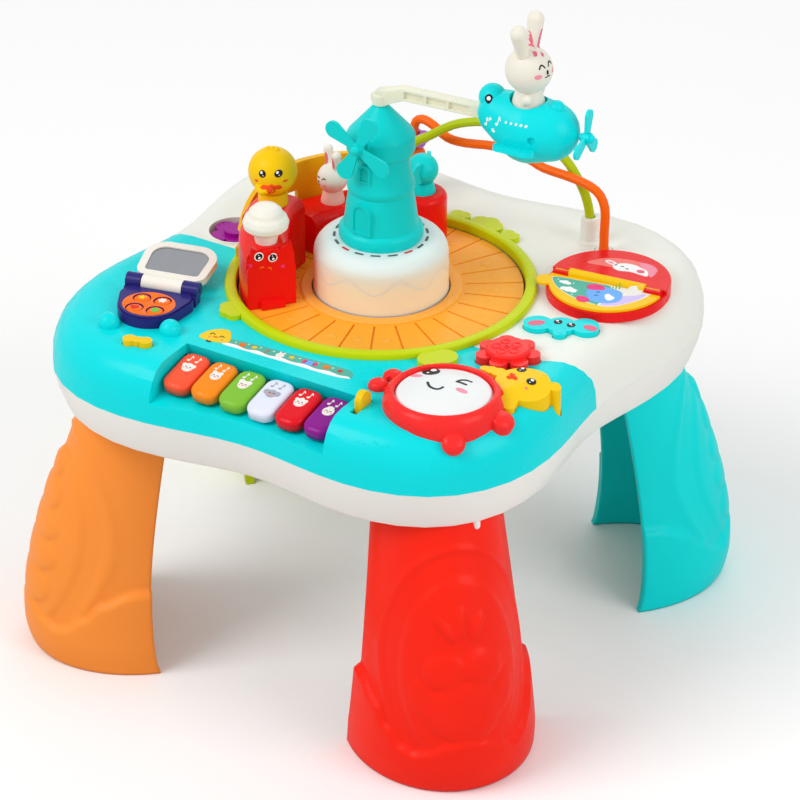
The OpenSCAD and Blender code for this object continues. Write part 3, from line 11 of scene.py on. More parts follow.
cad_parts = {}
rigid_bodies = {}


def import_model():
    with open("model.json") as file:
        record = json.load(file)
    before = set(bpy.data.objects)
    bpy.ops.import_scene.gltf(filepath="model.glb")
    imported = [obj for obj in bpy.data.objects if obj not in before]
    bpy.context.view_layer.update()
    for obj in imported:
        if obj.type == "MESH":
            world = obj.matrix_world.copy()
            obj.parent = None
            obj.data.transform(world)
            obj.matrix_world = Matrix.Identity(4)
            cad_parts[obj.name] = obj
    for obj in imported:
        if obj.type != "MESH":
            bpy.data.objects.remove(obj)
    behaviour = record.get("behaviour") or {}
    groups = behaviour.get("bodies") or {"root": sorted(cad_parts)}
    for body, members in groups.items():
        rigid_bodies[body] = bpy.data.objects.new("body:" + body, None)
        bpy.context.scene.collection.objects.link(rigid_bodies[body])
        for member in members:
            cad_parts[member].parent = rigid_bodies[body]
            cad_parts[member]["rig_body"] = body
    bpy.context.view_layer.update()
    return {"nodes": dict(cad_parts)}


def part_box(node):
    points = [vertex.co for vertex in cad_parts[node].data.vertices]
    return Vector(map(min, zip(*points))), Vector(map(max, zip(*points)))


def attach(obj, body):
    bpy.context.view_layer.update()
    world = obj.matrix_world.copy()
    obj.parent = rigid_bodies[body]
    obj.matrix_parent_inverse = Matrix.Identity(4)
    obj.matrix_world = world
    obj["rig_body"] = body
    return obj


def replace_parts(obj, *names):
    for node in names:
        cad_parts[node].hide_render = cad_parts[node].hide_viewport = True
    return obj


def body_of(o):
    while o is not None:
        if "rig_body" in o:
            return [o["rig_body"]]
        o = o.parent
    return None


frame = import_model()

MM = 0.001
NODES = frame["nodes"]


def new_object(name, data):
    o = bpy.data.objects.new(name, data)
    bpy.context.scene.collection.objects.link(o)
    return o


# ---- Camera, fitted to the photo ----
AZIMUTH, ELEVATION = radians(31.9), radians(29.9)
FOCAL_PX, IMAGE_PX, SENSOR_MM = 4485.9, 800, 36
EYE = Vector((1542.434, -2451.910, 1837.247)) * MM
BACK = Vector((sin(AZIMUTH) * cos(ELEVATION), -cos(AZIMUTH) * cos(ELEVATION),
               sin(ELEVATION)))
RIGHT = Vector((cos(AZIMUTH), sin(AZIMUTH), 0))
UP = BACK.cross(RIGHT)
camera = new_object("camera", bpy.data.cameras.new("camera"))
camera.data.sensor_width = SENSOR_MM
camera.data.lens = FOCAL_PX * SENSOR_MM / IMAGE_PX
camera.data.clip_start, camera.data.clip_end = 0.1, 50
camera.matrix_world = Matrix.Translation(EYE) @ Matrix((RIGHT, UP, BACK)).transposed().to_4x4()
bpy.context.scene.camera = camera
bpy.context.scene.view_settings.view_transform = "Standard"


def way(px, py):
    """Direction from the camera through a place in the photo."""
    return (RIGHT * (px - IMAGE_PX / 2) - UP * (py - IMAGE_PX / 2) - BACK * FOCAL_PX).normalized()


# ---- Looks ----
L = {}


def linear(rgb):
    c = [v / 255 for v in rgb]
    return [v / 12.92 if v <= 0.04045 else ((v + 0.055) / 1.055) ** 2.4 for v in c]


def set_inputs(n, **inputs):
    for k, v in inputs.items():
        n.inputs[k.replace("_", " ")].default_value = v


def node(tree, kind, **inputs):
    n = tree.nodes.new(kind)
    set_inputs(n, **inputs)
    return n


def tint(tree, low, high, fac):
    """Colour that goes from low to high with fac."""
    mix = tree.nodes.new("ShaderNodeMix")
    mix.data_type = "RGBA"
    mix.inputs[6].default_value = (*low, 1)
    mix.inputs[7].default_value = (*high, 1)
    tree.links.new(fac, mix.inputs[0])
    return mix.outputs[2]


def plastic(name, rgb, rough=0.3, vary=0.05, grain=0.03, soft=0, metal=0, coat=0, fade=None, shine=0.13):
    """Adds a look for moulded plastic, ink or metal. Its colour drifts slowly, its roughness is uneven, and a fine
    grain lies on it. soft lets light into it. fade is (rgb, z low, z high): it turns to that colour upwards."""
    m = bpy.data.materials.new(name)
    m.use_nodes = True
    t = m.node_tree
    link = t.links.new
    b = t.nodes["Principled BSDF"]
    place = t.nodes.new("ShaderNodeTexCoord").outputs["Object"]
    slow = node(t, "ShaderNodeTexNoise", Scale=14, Detail=3, Roughness=0.55)
    mid = node(t, "ShaderNodeTexNoise", Scale=160, Detail=4, Roughness=0.6)
    fine = node(t, "ShaderNodeTexNoise", Scale=1500, Detail=2)
    for n in (slow, mid, fine):
        link(place, n.inputs["Vector"])

    def drifting(c, lighter):
        c = linear(c)
        return tint(t, [v * (1 - vary) for v in c], [min(1, v * (1 + vary) + lighter) for v in c], slow.outputs[0])
    colour = drifting(rgb, 0.004)
    if fade:
        other, lo, hi = fade
        split = t.nodes.new("ShaderNodeSeparateXYZ")
        link(place, split.inputs[0])
        ramp = node(t, "ShaderNodeMapRange", From_Min=lo * MM, From_Max=hi * MM)
        ramp.interpolation_type = "SMOOTHSTEP"
        link(split.outputs[2], ramp.inputs[0])
        mix = t.nodes.new("ShaderNodeMix")
        mix.data_type = "RGBA"
        for source, k in ((ramp.outputs[0], 0), (colour, 6), (drifting(other, 0), 7)):
            link(source, mix.inputs[k])
        colour = mix.outputs[2]
    link(colour, b.inputs["Base Color"])
    uneven = node(t, "ShaderNodeMapRange", From_Min=0.3, From_Max=0.7, To_Min=rough - 0.05, To_Max=rough + 0.07)
    link(mid.outputs[0], uneven.inputs[0])
    link(uneven.outputs[0], b.inputs["Roughness"])
    low = node(t, "ShaderNodeBump", Strength=grain, Distance=0.0006)
    high = node(t, "ShaderNodeBump", Strength=grain * 1.6, Distance=0.0001)
    link(mid.outputs[0], low.inputs["Height"])
    link(fine.outputs[0], high.inputs["Height"])
    link(low.outputs[0], high.inputs["Normal"])
    link(high.outputs[0], b.inputs["Normal"])
    set_inputs(b, Metallic=metal, IOR=1.5, Specular_IOR_Level=0.5 if metal else shine, Coat_Weight=coat,
               Coat_Roughness=0.12)
    if soft:
        set_inputs(b, Subsurface_Weight=soft, Subsurface_Radius=(1, 0.75, 0.5), Subsurface_Scale=0.006)
    L[name] = m


plastic("shell_white", (238, 240, 231), 0.34, 0.02, soft=0.08)
plastic("tray_white", (244, 242, 236), 0.36, 0.02, soft=0.08)
plastic("shell_teal", (0, 222, 226), 0.24, 0.02, 0.012, shine=0.12)
for name, rgb in dict(orange=(255, 148, 58), red=(254, 34, 10), teal=(0, 224, 224), lime=(186, 204, 16)).items():
    plastic(f"leg_{name}", rgb, 0.36)
plastic("lime", (198, 214, 2))
plastic("orange", (254, 170, 42), soft=0.1, fade=((253, 176, 74), 268.4, 269.6))
plastic("red", (250, 44, 42), 0.24, coat=0.04)
plastic("train_red", (240, 18, 12), 0.22, coat=0.04)
plastic("book_red", (238, 22, 24), 0.28)
plastic("teal", (0, 212, 210), 0.33)
plastic("plane_teal", (0, 222, 226))
# Peach low on the cake is painted light, a painted glow from the orange turntable; the pale colour towards the top
# is the cake's own
plastic("cake", (255, 236, 206), 0.4, 0.02, soft=0.3, fade=((230, 239, 235), 286, 308))
plastic("arm", (238, 236, 214), 0.38, 0.03, soft=0.5)
plastic("ivory", (240, 236, 224), 0.36, 0.02, soft=0.2)
plastic("bunny", (236, 231, 218), 0.4, 0.02, soft=0.2)
plastic("bunny_pink", (247, 198, 184), 0.4, 0.03, soft=0.2, fade=((244, 240, 230), 313, 320))
plastic("yellow", (252, 200, 6))
plastic("arch", (240, 182, 14), 0.32)
plastic("duck", (254, 202, 2), 0.36)
plastic("duck_button", (248, 202, 0))
plastic("green_wire", (178, 198, 14), 0.35)
plastic("orange_wire", (254, 104, 6), 0.35)
plastic("pad", (238, 240, 240), 0.34, 0.02, soft=0.1)
plastic("navy", (42, 36, 116), 0.22, coat=0.05)
plastic("lid", (240, 236, 226), 0.3, 0.02, soft=0.1)
plastic("mirror", (150, 153, 158), 0.16, 0.03, 0.01, metal=0.8)
plastic("keypad", (254, 112, 14))
for k, rgb in enumerate(((250, 86, 52), (246, 138, 18), (126, 190, 54), (226, 230, 248), (226, 10, 30),
                         (140, 16, 140))):
    plastic(f"key_{k + 1}", rgb, 0.22, 0.02 if k == 3 else 0.05, coat=0.04)
plastic("violet", (160, 6, 150), 0.28)
plastic("lilac", (186, 120, 232))
plastic("bead_orange", (246, 104, 30))
plastic("grey", (196, 196, 194), 0.5)
plastic("gear", (228, 224, 210), 0.45)
plastic("dark", (34, 34, 38), 0.5)
plastic("board", (14, 96, 56), 0.4)
plastic("cell", (52, 54, 62), 0.35)
plastic("steel", (176, 178, 184), 0.28, 0.06, metal=1)
plastic("black_ink", (26, 24, 26), 0.28, 0.12, 0.02)
plastic("white_ink", (250, 250, 250), 0.35, 0.02, 0.02)
plastic("cream_ink", (240, 236, 228), 0.4, 0.02, 0.02)
plastic("ear_pink", (236, 112, 140), 0.42, 0.04, 0.02)
plastic("beak", (246, 78, 22), 0.32)
for name, rgb in dict(sea=(84, 180, 160), slate=(74, 92, 92), grey=(170, 172, 180)).items():
    plastic(f"{name}_ink", rgb, 0.4, 0.05, 0.02)
for name, rgb in dict(pink=(246, 150, 170), hot_pink=(236, 60, 130), blue=(110, 176, 250), lilac=(214, 196, 250),
                      yellow=(246, 206, 30), orange=(240, 120, 24), red=(220, 40, 40), rose=(248, 128, 120),
                      green=(110, 190, 70)).items():
    plastic(f"{name}_ink", rgb, 0.4, 0.04, 0.02)

# The look of each node, where it isn't called what the node is called
LOOKS = dict(
    base_tray="tray_white", front_cover="shell_teal", rear_cover="shell_white", track_ring="lime",
    case_screws="steel", battery_door="tray_white", battery_cells="cell", circuit_board="board", speaker="dark",
    gear_housing="grey", drive_motor="grey", cake_dome="cake", windmill_tower="teal", track_arch="arch",
    key_frame="dark", phone_base="navy", drum_body="red", book_case="book_red", turntable="orange",
    train_cars="train_red", chimney_cloud="ivory", duck_rider="duck", bunny_rider="bunny_pink",
    elephant_rider="teal", flyer_shaft="steel", flyer_arm="arm", plane_body="plane_teal", pilot_bunny="bunny",
    propeller="plane_teal", windmill_rotor="teal", drive_pinion="gear", phone_lid="lid", phone_mirror="mirror",
    bow_button="yellow", selector_lever="yellow", drum_pad="pad", flower_button="red",
    elephant_button="shell_teal", book_page="yellow", flower_spinner="violet", bead_flower="lilac",
    bead_round="bead_orange", bead_lilac="lilac")
LOOKS |= {f"phone_button_{k}": "keypad" for k in (1, 2, 3, 4)}


def look_of(name):
    return L[LOOKS.get(name, name)]


for name, obj in NODES.items():
    if not obj.material_slots:
        obj.data.materials.append(look_of(name))
    for s in obj.material_slots:
        s.material = look_of(name)

# ---- Shading of the CAD pieces: even over shallow edges, crisp over sharp ones ----
MERGE = 0.00001  # metres, below which two vertices are one
SHALLOW = radians(33)
even = bpy.data.node_groups.new("even_shading", "GeometryNodeTree")
for side in ("INPUT", "OUTPUT"):
    even.interface.new_socket(name="Geometry", in_out=side, socket_type="NodeSocketGeometry")
last = even.nodes.new("NodeGroupInput").outputs[0]
plain = node(even, "GeometryNodeRemoveAttribute", Name="custom_normal")
joined = node(even, "GeometryNodeMergeByDistance", Distance=MERGE)
faces = even.nodes.new("GeometryNodeSetShadeSmooth")
edges = even.nodes.new("GeometryNodeSetShadeSmooth")
edges.domain = "EDGE"
shallow = node(even, "FunctionNodeCompare")
shallow.operation = "LESS_THAN"
shallow.inputs[1].default_value = SHALLOW
even.links.new(even.nodes.new("GeometryNodeInputMeshEdgeAngle").outputs[0], shallow.inputs[0])
even.links.new(shallow.outputs[0], edges.inputs["Shade Smooth"])
for n in (plain, joined, faces, edges):
    even.links.new(last, n.inputs[0])
    last = n.outputs[0]
even.links.new(last, even.nodes.new("NodeGroupOutput").inputs[0])


def even_out(obj):
    obj.modifiers.new("even_shading", "NODES").node_group = even
    obj.modifiers.new("weighted_normals", "WEIGHTED_NORMAL").keep_sharp = True


for obj in NODES.values():
    even_out(obj)


# ---- New pieces ----
def mesh_of(name, verts, faces, looks, smooth):
    me = bpy.data.meshes.new(name)
    me.from_pydata(verts, [], faces)
    for look in looks:
        me.materials.append(look)
    me.polygons.foreach_set("use_smooth", smooth)
    me.update()
    return me


def settle(me, on):
    """Puts a mesh in the scene as a piece that rides with the body of a CAD node."""
    o = new_object(me.name, me)
    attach(o, body_of(NODES[on])[0])
    return o


# How folded flat faces are found: metres, square metres and cosines
FLAT, SAME_PLANE, NO_AREA, FOLDED, PARALLEL = 2e-5, 3e-5, 1e-9, -0.98, 0.99999


def folded_planes(bm):
    """Planes (normal, distance) in which one triangle lies turned over on another."""
    planes = []
    for e in bm.edges:
        if len(e.link_faces) == 2:
            f, g = e.link_faces
            if min(f.calc_area(), g.calc_area()) > NO_AREA and f.normal.dot(g.normal) < FOLDED:
                big = f if f.calc_area() > g.calc_area() else g
                n, d = big.normal.copy(), big.normal.dot(big.verts[0].co)
                if not any(abs(n.dot(m)) > PARALLEL and abs(d - c * n.dot(m)) < SAME_PLANE for m, c in planes):
                    planes.append((n, d))
    return planes


def refilled(name):
    """The same piece with its flat faces filled again from their own edges, where their triangles fold over."""
    bm = bmesh.new()
    bm.from_mesh(NODES[name].data)
    bmesh.ops.remove_doubles(bm, verts=bm.verts, dist=MERGE)
    for n, d in folded_planes(bm):
        def in_plane(verts):
            return all(abs(v.co.dot(n) - d) < FLAT for v in verts)
        bmesh.ops.delete(bm, geom=[f for f in bm.faces if in_plane(f.verts)], context="FACES_ONLY")
        bmesh.ops.delete(bm, geom=[e for e in bm.edges if not e.link_faces], context="EDGES")
        rim = [e for e in bm.edges if len(e.link_faces) == 1 and in_plane(e.verts)]
        a = n.orthogonal().normalized()
        b = n.cross(a)
        spots = sorted({v for e in rim for v in e.verts}, key=lambda v: v.index)
        where = {v: i for i, v in enumerate(spots)}
        flat_at = [Vector((v.co.dot(a), v.co.dot(b))) / MM for v in spots]
        pairs = [(where[e.verts[0]], where[e.verts[1]]) for e in rim]
        made = geometry.delaunay_2d_cdt(flat_at, pairs, [], 0, 1e-5)
        ends = [(flat_at[i], flat_at[j]) for i, j in pairs]
        use = [spots[old[0]] if old else bm.verts.new((a * q.x + b * q.y) * MM + n * d)
               for q, old in zip(made[0], made[3])]
        for t in made[2]:
            mx, my = (sum(made[0][i][k] for i in t) / 3 for k in (0, 1))
            odd = False
            for p0, p1 in ends:
                if (p0.y > my) != (p1.y > my) and mx < (p1.x - p0.x) * (my - p0.y) / (p1.y - p0.y) + p0.x:
                    odd = not odd
            corners = [use[i] for i in t]
            if odd and len(set(corners)) == 3 and not bm.faces.get(corners):
                bm.faces.new(corners)
        bm.verts.index_update()
    bmesh.ops.recalc_face_normals(bm, faces=bm.faces)
    me = bpy.data.meshes.new(f"{name}_shell")
    bm.to_mesh(me)
    bm.free()
    me.materials.append(look_of(name))
    o = settle(me, name)
    even_out(o)
    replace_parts(o, name)


for name in ("base_tray", "front_cover", "rear_cover", "track_ring", "elephant_button"):
    refilled(name)


# ---- Outlines, as lists of points ----
def ellipse(cx, cy, rx, ry=None, turn=0, n=24):
    ry = rx if ry is None else ry
    return moved([(rx * cos(2 * pi * i / n), ry * sin(2 * pi * i / n)) for i in range(n)], cx, cy, 1, turn)


def rose(cx, cy, r, petals=5, deep=0.25):
    out = []
    for i in range(60):
        a = 2 * pi * i / 60
        far = r * (1 - deep + deep * cos(petals * a))
        out.append((cx + far * cos(a), cy + far * sin(a)))
    return out


def star(cx, cy, r, inner=0.5, points=5):
    out = []
    for i in range(2 * points):
        a, far = radians(90 + 180 * i / points), r if i % 2 == 0 else r * inner
        out.append((cx + far * cos(a), cy + far * sin(a)))
    return out


def heart(cx, cy, r):
    return [(cx + r * sin(t) ** 3, cy + r * (0.81 * cos(t) - 0.31 * cos(2 * t) - 0.12 * cos(3 * t)))
            for t in (2 * pi * i / 28 for i in range(28))]


def curve(points, closed=False):
    """Smooth line through the points."""
    n, out = len(points), []
    for i in range(n if closed else n - 1):
        if closed:
            p = [points[(i + k) % n] for k in (-1, 0, 1, 2)]
        else:
            p = [points[max(0, i - 1)], points[i], points[i + 1], points[min(n - 1, i + 2)]]
        for t in (0, 0.2, 0.4, 0.6, 0.8):
            out.append(tuple(0.5 * (2 * p[1][k] + (p[2][k] - p[0][k]) * t
                                    + (2 * p[0][k] - 5 * p[1][k] + 4 * p[2][k] - p[3][k]) * t * t
                                    + (3 * p[1][k] - p[0][k] - 3 * p[2][k] + p[3][k]) * t ** 3) for k in (0, 1)))
    return out if closed else out + [tuple(points[-1])]


def band(path, width, caps=5):
    """Outline of a line of that width with round ends."""
    h, left, right, n = width / 2, [], [], len(path)
    for i, (x, y) in enumerate(path):
        ax, ay = path[max(0, i - 1)]
        bx, by = path[min(n - 1, i + 1)]
        d = hypot(bx - ax, by - ay) or 1
        nx, ny = -(by - ay) / d * h, (bx - ax) / d * h
        left.append((x + nx, y + ny))
        right.append((x - nx, y - ny))

    def cap(c, start):
        a = atan2(start[1] - c[1], start[0] - c[0])
        return [(c[0] + h * cos(a - pi * k / caps), c[1] + h * sin(a - pi * k / caps))
                for k in range(1, caps)]
    return left + cap(path[-1], left[-1]) + right[::-1] + cap(path[0], right[0])


def blob(circles):
    """Outline of circles (x, y, r) drawn together, seen from the first one's middle."""
    (ox, oy, _), n, out = circles[0], 56, []
    for i in range(n):
        a = 2 * pi * i / n
        dx, dy, best = cos(a), sin(a), 0
        for x, y, r in circles:
            along = (x - ox) * dx + (y - oy) * dy
            rest = r * r - (x - ox) ** 2 - (y - oy) ** 2 + along * along
            if rest >= 0:
                best = max(best, along + sqrt(rest))
        out.append((ox + dx * best, oy + dy * best))
    return out


def moved(points, dx, dy, size=1, turn=0):
    c, s = cos(radians(turn)) * size, sin(radians(turn)) * size
    return [(dx + x * c - y * s, dy + x * s + y * c) for x, y in points]


# ---- Shapes laid on a CAD surface ----
CLEARANCE, ROW_GAP = 0.45, 0.87  # of the inner points, as shares of their step


def inside(p, loop):
    c, (jx, jy) = False, loop[-1]
    for ix, iy in loop:
        if (iy > p[1]) != (jy > p[1]) and p[0] < (jx - ix) * (p[1] - iy) / (jy - iy) + ix:
            c = not c
        jx, jy = ix, iy
    return c


def rim_distance(p, loops):
    """How far a point is from the nearest edge of the loops."""
    best = 1e9
    for loop in loops:
        jx, jy = loop[-1]
        for ix, iy in loop:
            ex, ey = ix - jx, iy - jy
            t = max(0, min(1, ((p[0] - jx) * ex + (p[1] - jy) * ey) / ((ex * ex + ey * ey) or 1)))
            best = min(best, hypot(p[0] - jx - t * ex, p[1] - jy - t * ey))
            jx, jy = ix, iy
    return best


def spaced(loop, step):
    """The loop with points added, so that none are further than step apart."""
    out = []
    for (ax, ay), (bx, by) in zip(loop, loop[1:] + loop[:1]):
        k = max(1, ceil(hypot(bx - ax, by - ay) / step))
        out += [(ax + (bx - ax) * i / k, ay + (by - ay) * i / k) for i in range(k)]
    return out


def fill(outline, step, holes=()):
    """Points and triangles that fill an outline, with points inside it too."""
    loops = [spaced(loop, step) for loop in (outline, *holes)]
    pts, edges = [], []
    for loop in loops:
        s = len(pts)
        pts += loop
        edges += [(s + i, s + (i + 1) % len(loop)) for i in range(len(loop))]
    xs, ys = [p[0] for p in loops[0]], [p[1] for p in loops[0]]

    def within(p):
        return inside(p, loops[0]) and not any(inside(p, h) for h in loops[1:])
    row, y = 0, min(ys) + step / 2
    while y < max(ys):
        x = min(xs) + step * (0.5 if row % 2 else 1)
        while x < max(xs):
            if within((x, y)) and rim_distance((x, y), loops) > step * CLEARANCE:
                pts.append((x, y))
            x += step
        y += step * ROW_GAP
        row += 1
    made = geometry.delaunay_2d_cdt([Vector(p) for p in pts], edges, [], 0, 1e-5)
    v = [tuple(p) for p in made[0]]
    tris = [tuple(t) for t in made[2] if within((sum(v[i][0] for i in t) / 3, sum(v[i][1] for i in t) / 3))]
    return v, tris, loops


trees = {}


def hit(name, start, direction):
    """Place and normal where a ray meets a CAD node's surface, or None."""
    if name not in trees:
        me = NODES[name].data
        trees[name] = BVHTree.FromPolygons([v.co for v in me.vertices], [tuple(p.vertices) for p in me.polygons])
    loc, normal, _, _ = trees[name].ray_cast(start, direction)
    return loc and (loc, normal)


def near_miss(on, px, py):
    """The place on a node that is nearest to a place in the photo just beside it."""
    for r in range(1, 12):
        for k in range(16):
            a = pi * k / 8
            found = hit(on, EYE, way(px + r * cos(a), py + r * sin(a)))
            if found:
                return found
    raise ValueError(f"nothing of {on} at {px}, {py}")


LEVEL = 0.09  # how much higher each level of ink lies
SUNK = 0.12  # how far a print's edge goes into the surface


class Print:
    """Inks and low reliefs that lie on one CAD node's surface and move with it, as one piece."""

    def __init__(self, name, on, px=None, at=None, out=None, right=None, lift=0.22):
        self.name, self.on, self.lift = name, on, lift
        self.verts, self.faces, self.index, self.looks, self.smooth = [], [], [], [], []
        if px:
            found = hit(on, EYE, way(*px)) or near_miss(on, *px)
            self.o = found[0]
            out = out or found[1]
        else:
            self.o = Vector(at) * MM
        self.out = Vector(out).normalized()
        r = Vector(right) if right else RIGHT
        self.right = (r - self.out * r.dot(self.out)).normalized()
        self.up = self.out.cross(self.right)

    def uv(self, px, py):
        """Where a place in the photo is on this surface, in mm from the print's middle."""
        d = way(px, py)
        found = hit(self.on, EYE, d)
        q = found[0] if found else EYE + d * ((self.o - EYE).dot(self.out) / d.dot(self.out))
        w = (q - self.o) / MM
        return w.dot(self.right), w.dot(self.up)

    def flat(self, x, y, reach=14):
        start = self.o + (self.right * x + self.up * y + self.out * reach) * MM
        found = hit(self.on, start, -self.out)
        if found is None or (found[0] - start).length > 3 * reach * MM:
            return None
        return found[0], self.out

    def lay(self, outline, look, level=0, swell=0, edge=1.5, step=1.6, holes=(), place=None):
        """Adds a shape. swell rounds it up by so much, within edge of its outline."""
        pts, tris, loops = fill(outline, step, holes)
        found = [(place or self.flat)(*p) for p in pts]
        top = []
        for p, f in zip(pts, found):
            h = self.lift + LEVEL * level
            if swell:
                h += swell * sqrt(1 - (1 - min(rim_distance(p, loops) / edge, 1)) ** 2)
            top.append(f and f[0] + f[1] * h * MM)
        if look not in self.looks:
            self.looks.append(look)
        k, base = self.looks.index(look), len(self.verts)
        self.verts += [t or Vector() for t in top]
        used = [t for t in tris if all(top[i] for i in t)]
        for t in used:
            self.faces.append(tuple(base + i for i in t))
            self.index.append(k)
            self.smooth.append(True)
        sides = {(t[i], t[(i + 1) % 3]) for t in used for i in range(3)}
        for a, b in sides:
            if (b, a) not in sides:
                s = len(self.verts)
                low = [found[i][0] - found[i][1] * SUNK * MM for i in (a, b)]
                self.verts += [top[a], top[b], low[1], low[0]]
                self.faces.append((s, s + 3, s + 2, s + 1))
                self.index.append(k)
                self.smooth.append(False)

    # Shorthands that place a shape by the photo
    def dot(self, px, py, rx, look, ry=None, level=0, turn=0, step=1.2):
        self.lay(ellipse(*self.uv(px, py), rx, ry, turn), look, level, step=step)

    def line(self, places, width, look="black_ink", level=0, **k):
        self.lay(band(curve([self.uv(*p) for p in places]), width), look, level, step=1, **k)

    def shape(self, places, look, level=0, **k):
        self.lay(curve([self.uv(*p) for p in places], True), look, level, **k)

    def eye(self, px, py, r, ring=None, shine=(-0.25, 0.35)):
        u, v = self.uv(px, py)
        dx, dy = r * shine[0], r * shine[1]
        if ring:
            self.lay(ellipse(u, v, r * 1.3), ring, step=1.1)
        self.lay(ellipse(u, v, r), "black_ink", 1, step=1.1)
        self.lay(ellipse(u + dx, v + dy, r * 0.36, n=14), "white_ink", 2, step=1)
        self.lay(ellipse(u - dx, v - dy * 1.2, r * 0.16, n=10), "white_ink", 2, step=1)

    def done(self, slot=None):
        keep = sorted({i for f in self.faces for i in f})
        new = {old: i for i, old in enumerate(keep)}
        me = mesh_of(self.name, [self.verts[i] for i in keep], [tuple(new[i] for i in f) for f in self.faces],
                     [L[look] for look in self.looks], self.smooth)
        me.polygons.foreach_set("material_index", self.index)
        settle(me, self.on)


# An eighth note in one outline: round head, stem and flag
EIGHTH = ([(-0.75 + 1.55 * cos(t), -2.6 + 1.2 * sin(t)) for t in map(radians, range(25, 340, 25))]
          + [(0.75, -2.9), (0.75, 2), (2.2, 0.9), (2.7, 1.5), (0.9, 3.9), (0.05, 3.9), (0.05, -1.7)])


def note(x, y, size):
    return moved(EIGHTH, x, y, size)


TOP = dict(out=(0, 0, 1), right=(1, 0, 0))  # for prints that are laid from above


# ---- Drum face ----
p = Print("drum_face", "drum_pad", px=(447, 376.5), **TOP)
p.eye(431.1, 371.6, 6.4, shine=(0.1, 0.42))
p.line([(427.6, 382.4), (429.6, 386.4), (434.9, 388.9), (439.4, 388.9), (442.9, 387.2)], 1.9)
p.line([(456.9, 381.6), (461.2, 380.2), (466.6, 380.4), (471.5, 382)], 1.8)
p.line([(456.9, 381.6), (461.2, 382.9), (466.1, 384.8)], 1.8, level=1)
p.dot(415.8, 375.7, 5, "pink_ink", 2.4, turn=8)
p.dot(461.7, 390.7, 5, "pink_ink", 2.4, turn=-8)
p.done()

# ---- Duck button's face ----
p = Print("duck_button_face", "duck_button", px=(521, 377), right=(0.79, -0.61, 0))
p.eye(521.6, 369.6, 3.5)
p.eye(531.3, 381.6, 3.5)
p.dot(526.4, 388.2, 1.5, "rose_ink", 1)
u, v = p.uv(512.8, 376.8)
p.lay(curve([(u - 5.4, v + 0.6), (u - 2.4, v + 2.6), (u, v + 1.8), (u + 2.4, v + 2.6), (u + 5.4, v + 0.6),
             (u + 2.6, v - 1.4), (u, v - 1), (u - 2.6, v - 1.4)], True), "beak", swell=0.9, step=1.1)
p.lay(ellipse(u, v - 2.4, 2.6, 2.2), "beak", swell=0.7, step=1.1)
p.done()

# ---- Elephant button's face ----
p = Print("elephant_button_face", "elephant_button", px=(563, 325), right=(1, 0.25, 0))
p.dot(536.4, 322.8, 6.4, "ear_pink", 3.6, turn=28, step=1.4)
p.dot(590.8, 327.8, 5.6, "ear_pink", 3.4, turn=-6, step=1.4)
p.eye(558.1, 322, 3.1)
p.eye(571.1, 325.2, 3.1)
p.line([(560.5, 333), (562, 336), (561.5, 339)], 0.9, "teal", swell=0.4)
p.line([(566.5, 334), (567.5, 337), (567, 340)], 0.9, "teal", swell=0.4)
p.done()

# ---- Flower button's raised blossom ----
p = Print("flower_button_relief", "flower_button", px=(507, 346.6), **TOP, lift=0.05)
for k in range(5):
    a = radians(72 * k + 54)
    x, y = 7.6 * cos(a), 7.6 * sin(a)
    p.lay(ellipse(x, y, 4.1), "red", swell=0.9, edge=1.2, step=1.1, holes=[ellipse(x, y, 2.3, n=16)])
p.lay(ellipse(0, 0, 2.6), "red", swell=0.8, edge=1.2, step=0.9)
# The black dot in the blossom's middle is painted shade: it stands for the dark hole there
p.lay(ellipse(0, 0, 0.8, n=12), "black_ink", level=9, step=0.8)
p.done()

# ---- Phone: keypad plate and marks ----
PHONE_TURN = radians(13)
p = Print("phone_keypad", "phone_base", px=(143.4, 303.8), out=(0, 0, 1),
          right=(cos(PHONE_TURN), sin(PHONE_TURN), 0))
holes, mids = [], []
for k in range(4):
    lo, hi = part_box(f"phone_button_{k + 1}")
    c = ((lo + hi) / 2 - p.o) / MM
    mids.append((c.dot(p.right), c.dot(p.up)))
    holes.append(ellipse(*mids[-1], 6.9))
plate = ellipse(sum(m[0] for m in mids) / 4, sum(m[1] for m in mids) / 4 + 0.6, 19.6, 17.4, n=64)
p.lay(plate, "keypad", swell=0.5, edge=1.6, step=1.8, holes=holes)
p.done("orange")
for k, mark in enumerate((star(0, 0, 3.4), rose(0, 0, 3.4, 6, 0.2), heart(0, 0, 3.4), ellipse(0, 0, 3.2))):
    name = f"phone_button_{k + 1}"
    lo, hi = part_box(name)
    mid = (lo + hi) / 2 / MM
    p = Print(f"{name}_mark", name, at=(mid.x, mid.y, hi.z / MM), out=(0, 0, 1), right=(0.974, 0.225, 0))
    p.lay(mark, ("yellow_ink", "cream_ink", "red_ink", "green_ink")[k], step=1.1)
    p.done()

# ---- Keys: a rounder key, and a small animal head and two notes on it ----
HEADS = (  # circles: middle and radius
    [(0, 0, 4), (-3.4, 1.8, 1.6), (3.4, 1.8, 1.6)],
    [(0, 0, 3.8), (-2.4, 3.2, 1.5), (2.4, 3.2, 1.5)],
    [(0, 0, 3.9), (-2.8, 2.8, 1.9), (2.8, 2.8, 1.9)],
    [(0, 0, 3.7), (-3.8, 0.8, 2.3), (3.8, 0.8, 2.3)],
    [(0, 0, 4), (-3.2, 2.4, 1.4), (3.2, 2.4, 1.4), (0, 3.6, 1.2)],
    [(0, 0, 4), (0, 4, 1.1), (-1.4, 3.6, 1), (1.4, 3.6, 1)],
)
# Radii of a key's front and back corners and of its upper edge, and how far that draws in at the front
FRONT_CORNER, BACK_CORNER, KEY_EDGE, KEY_NOSE = 8.4, 7.4, 3.4, 5.6
KEY_SLOPE = radians(11.5)


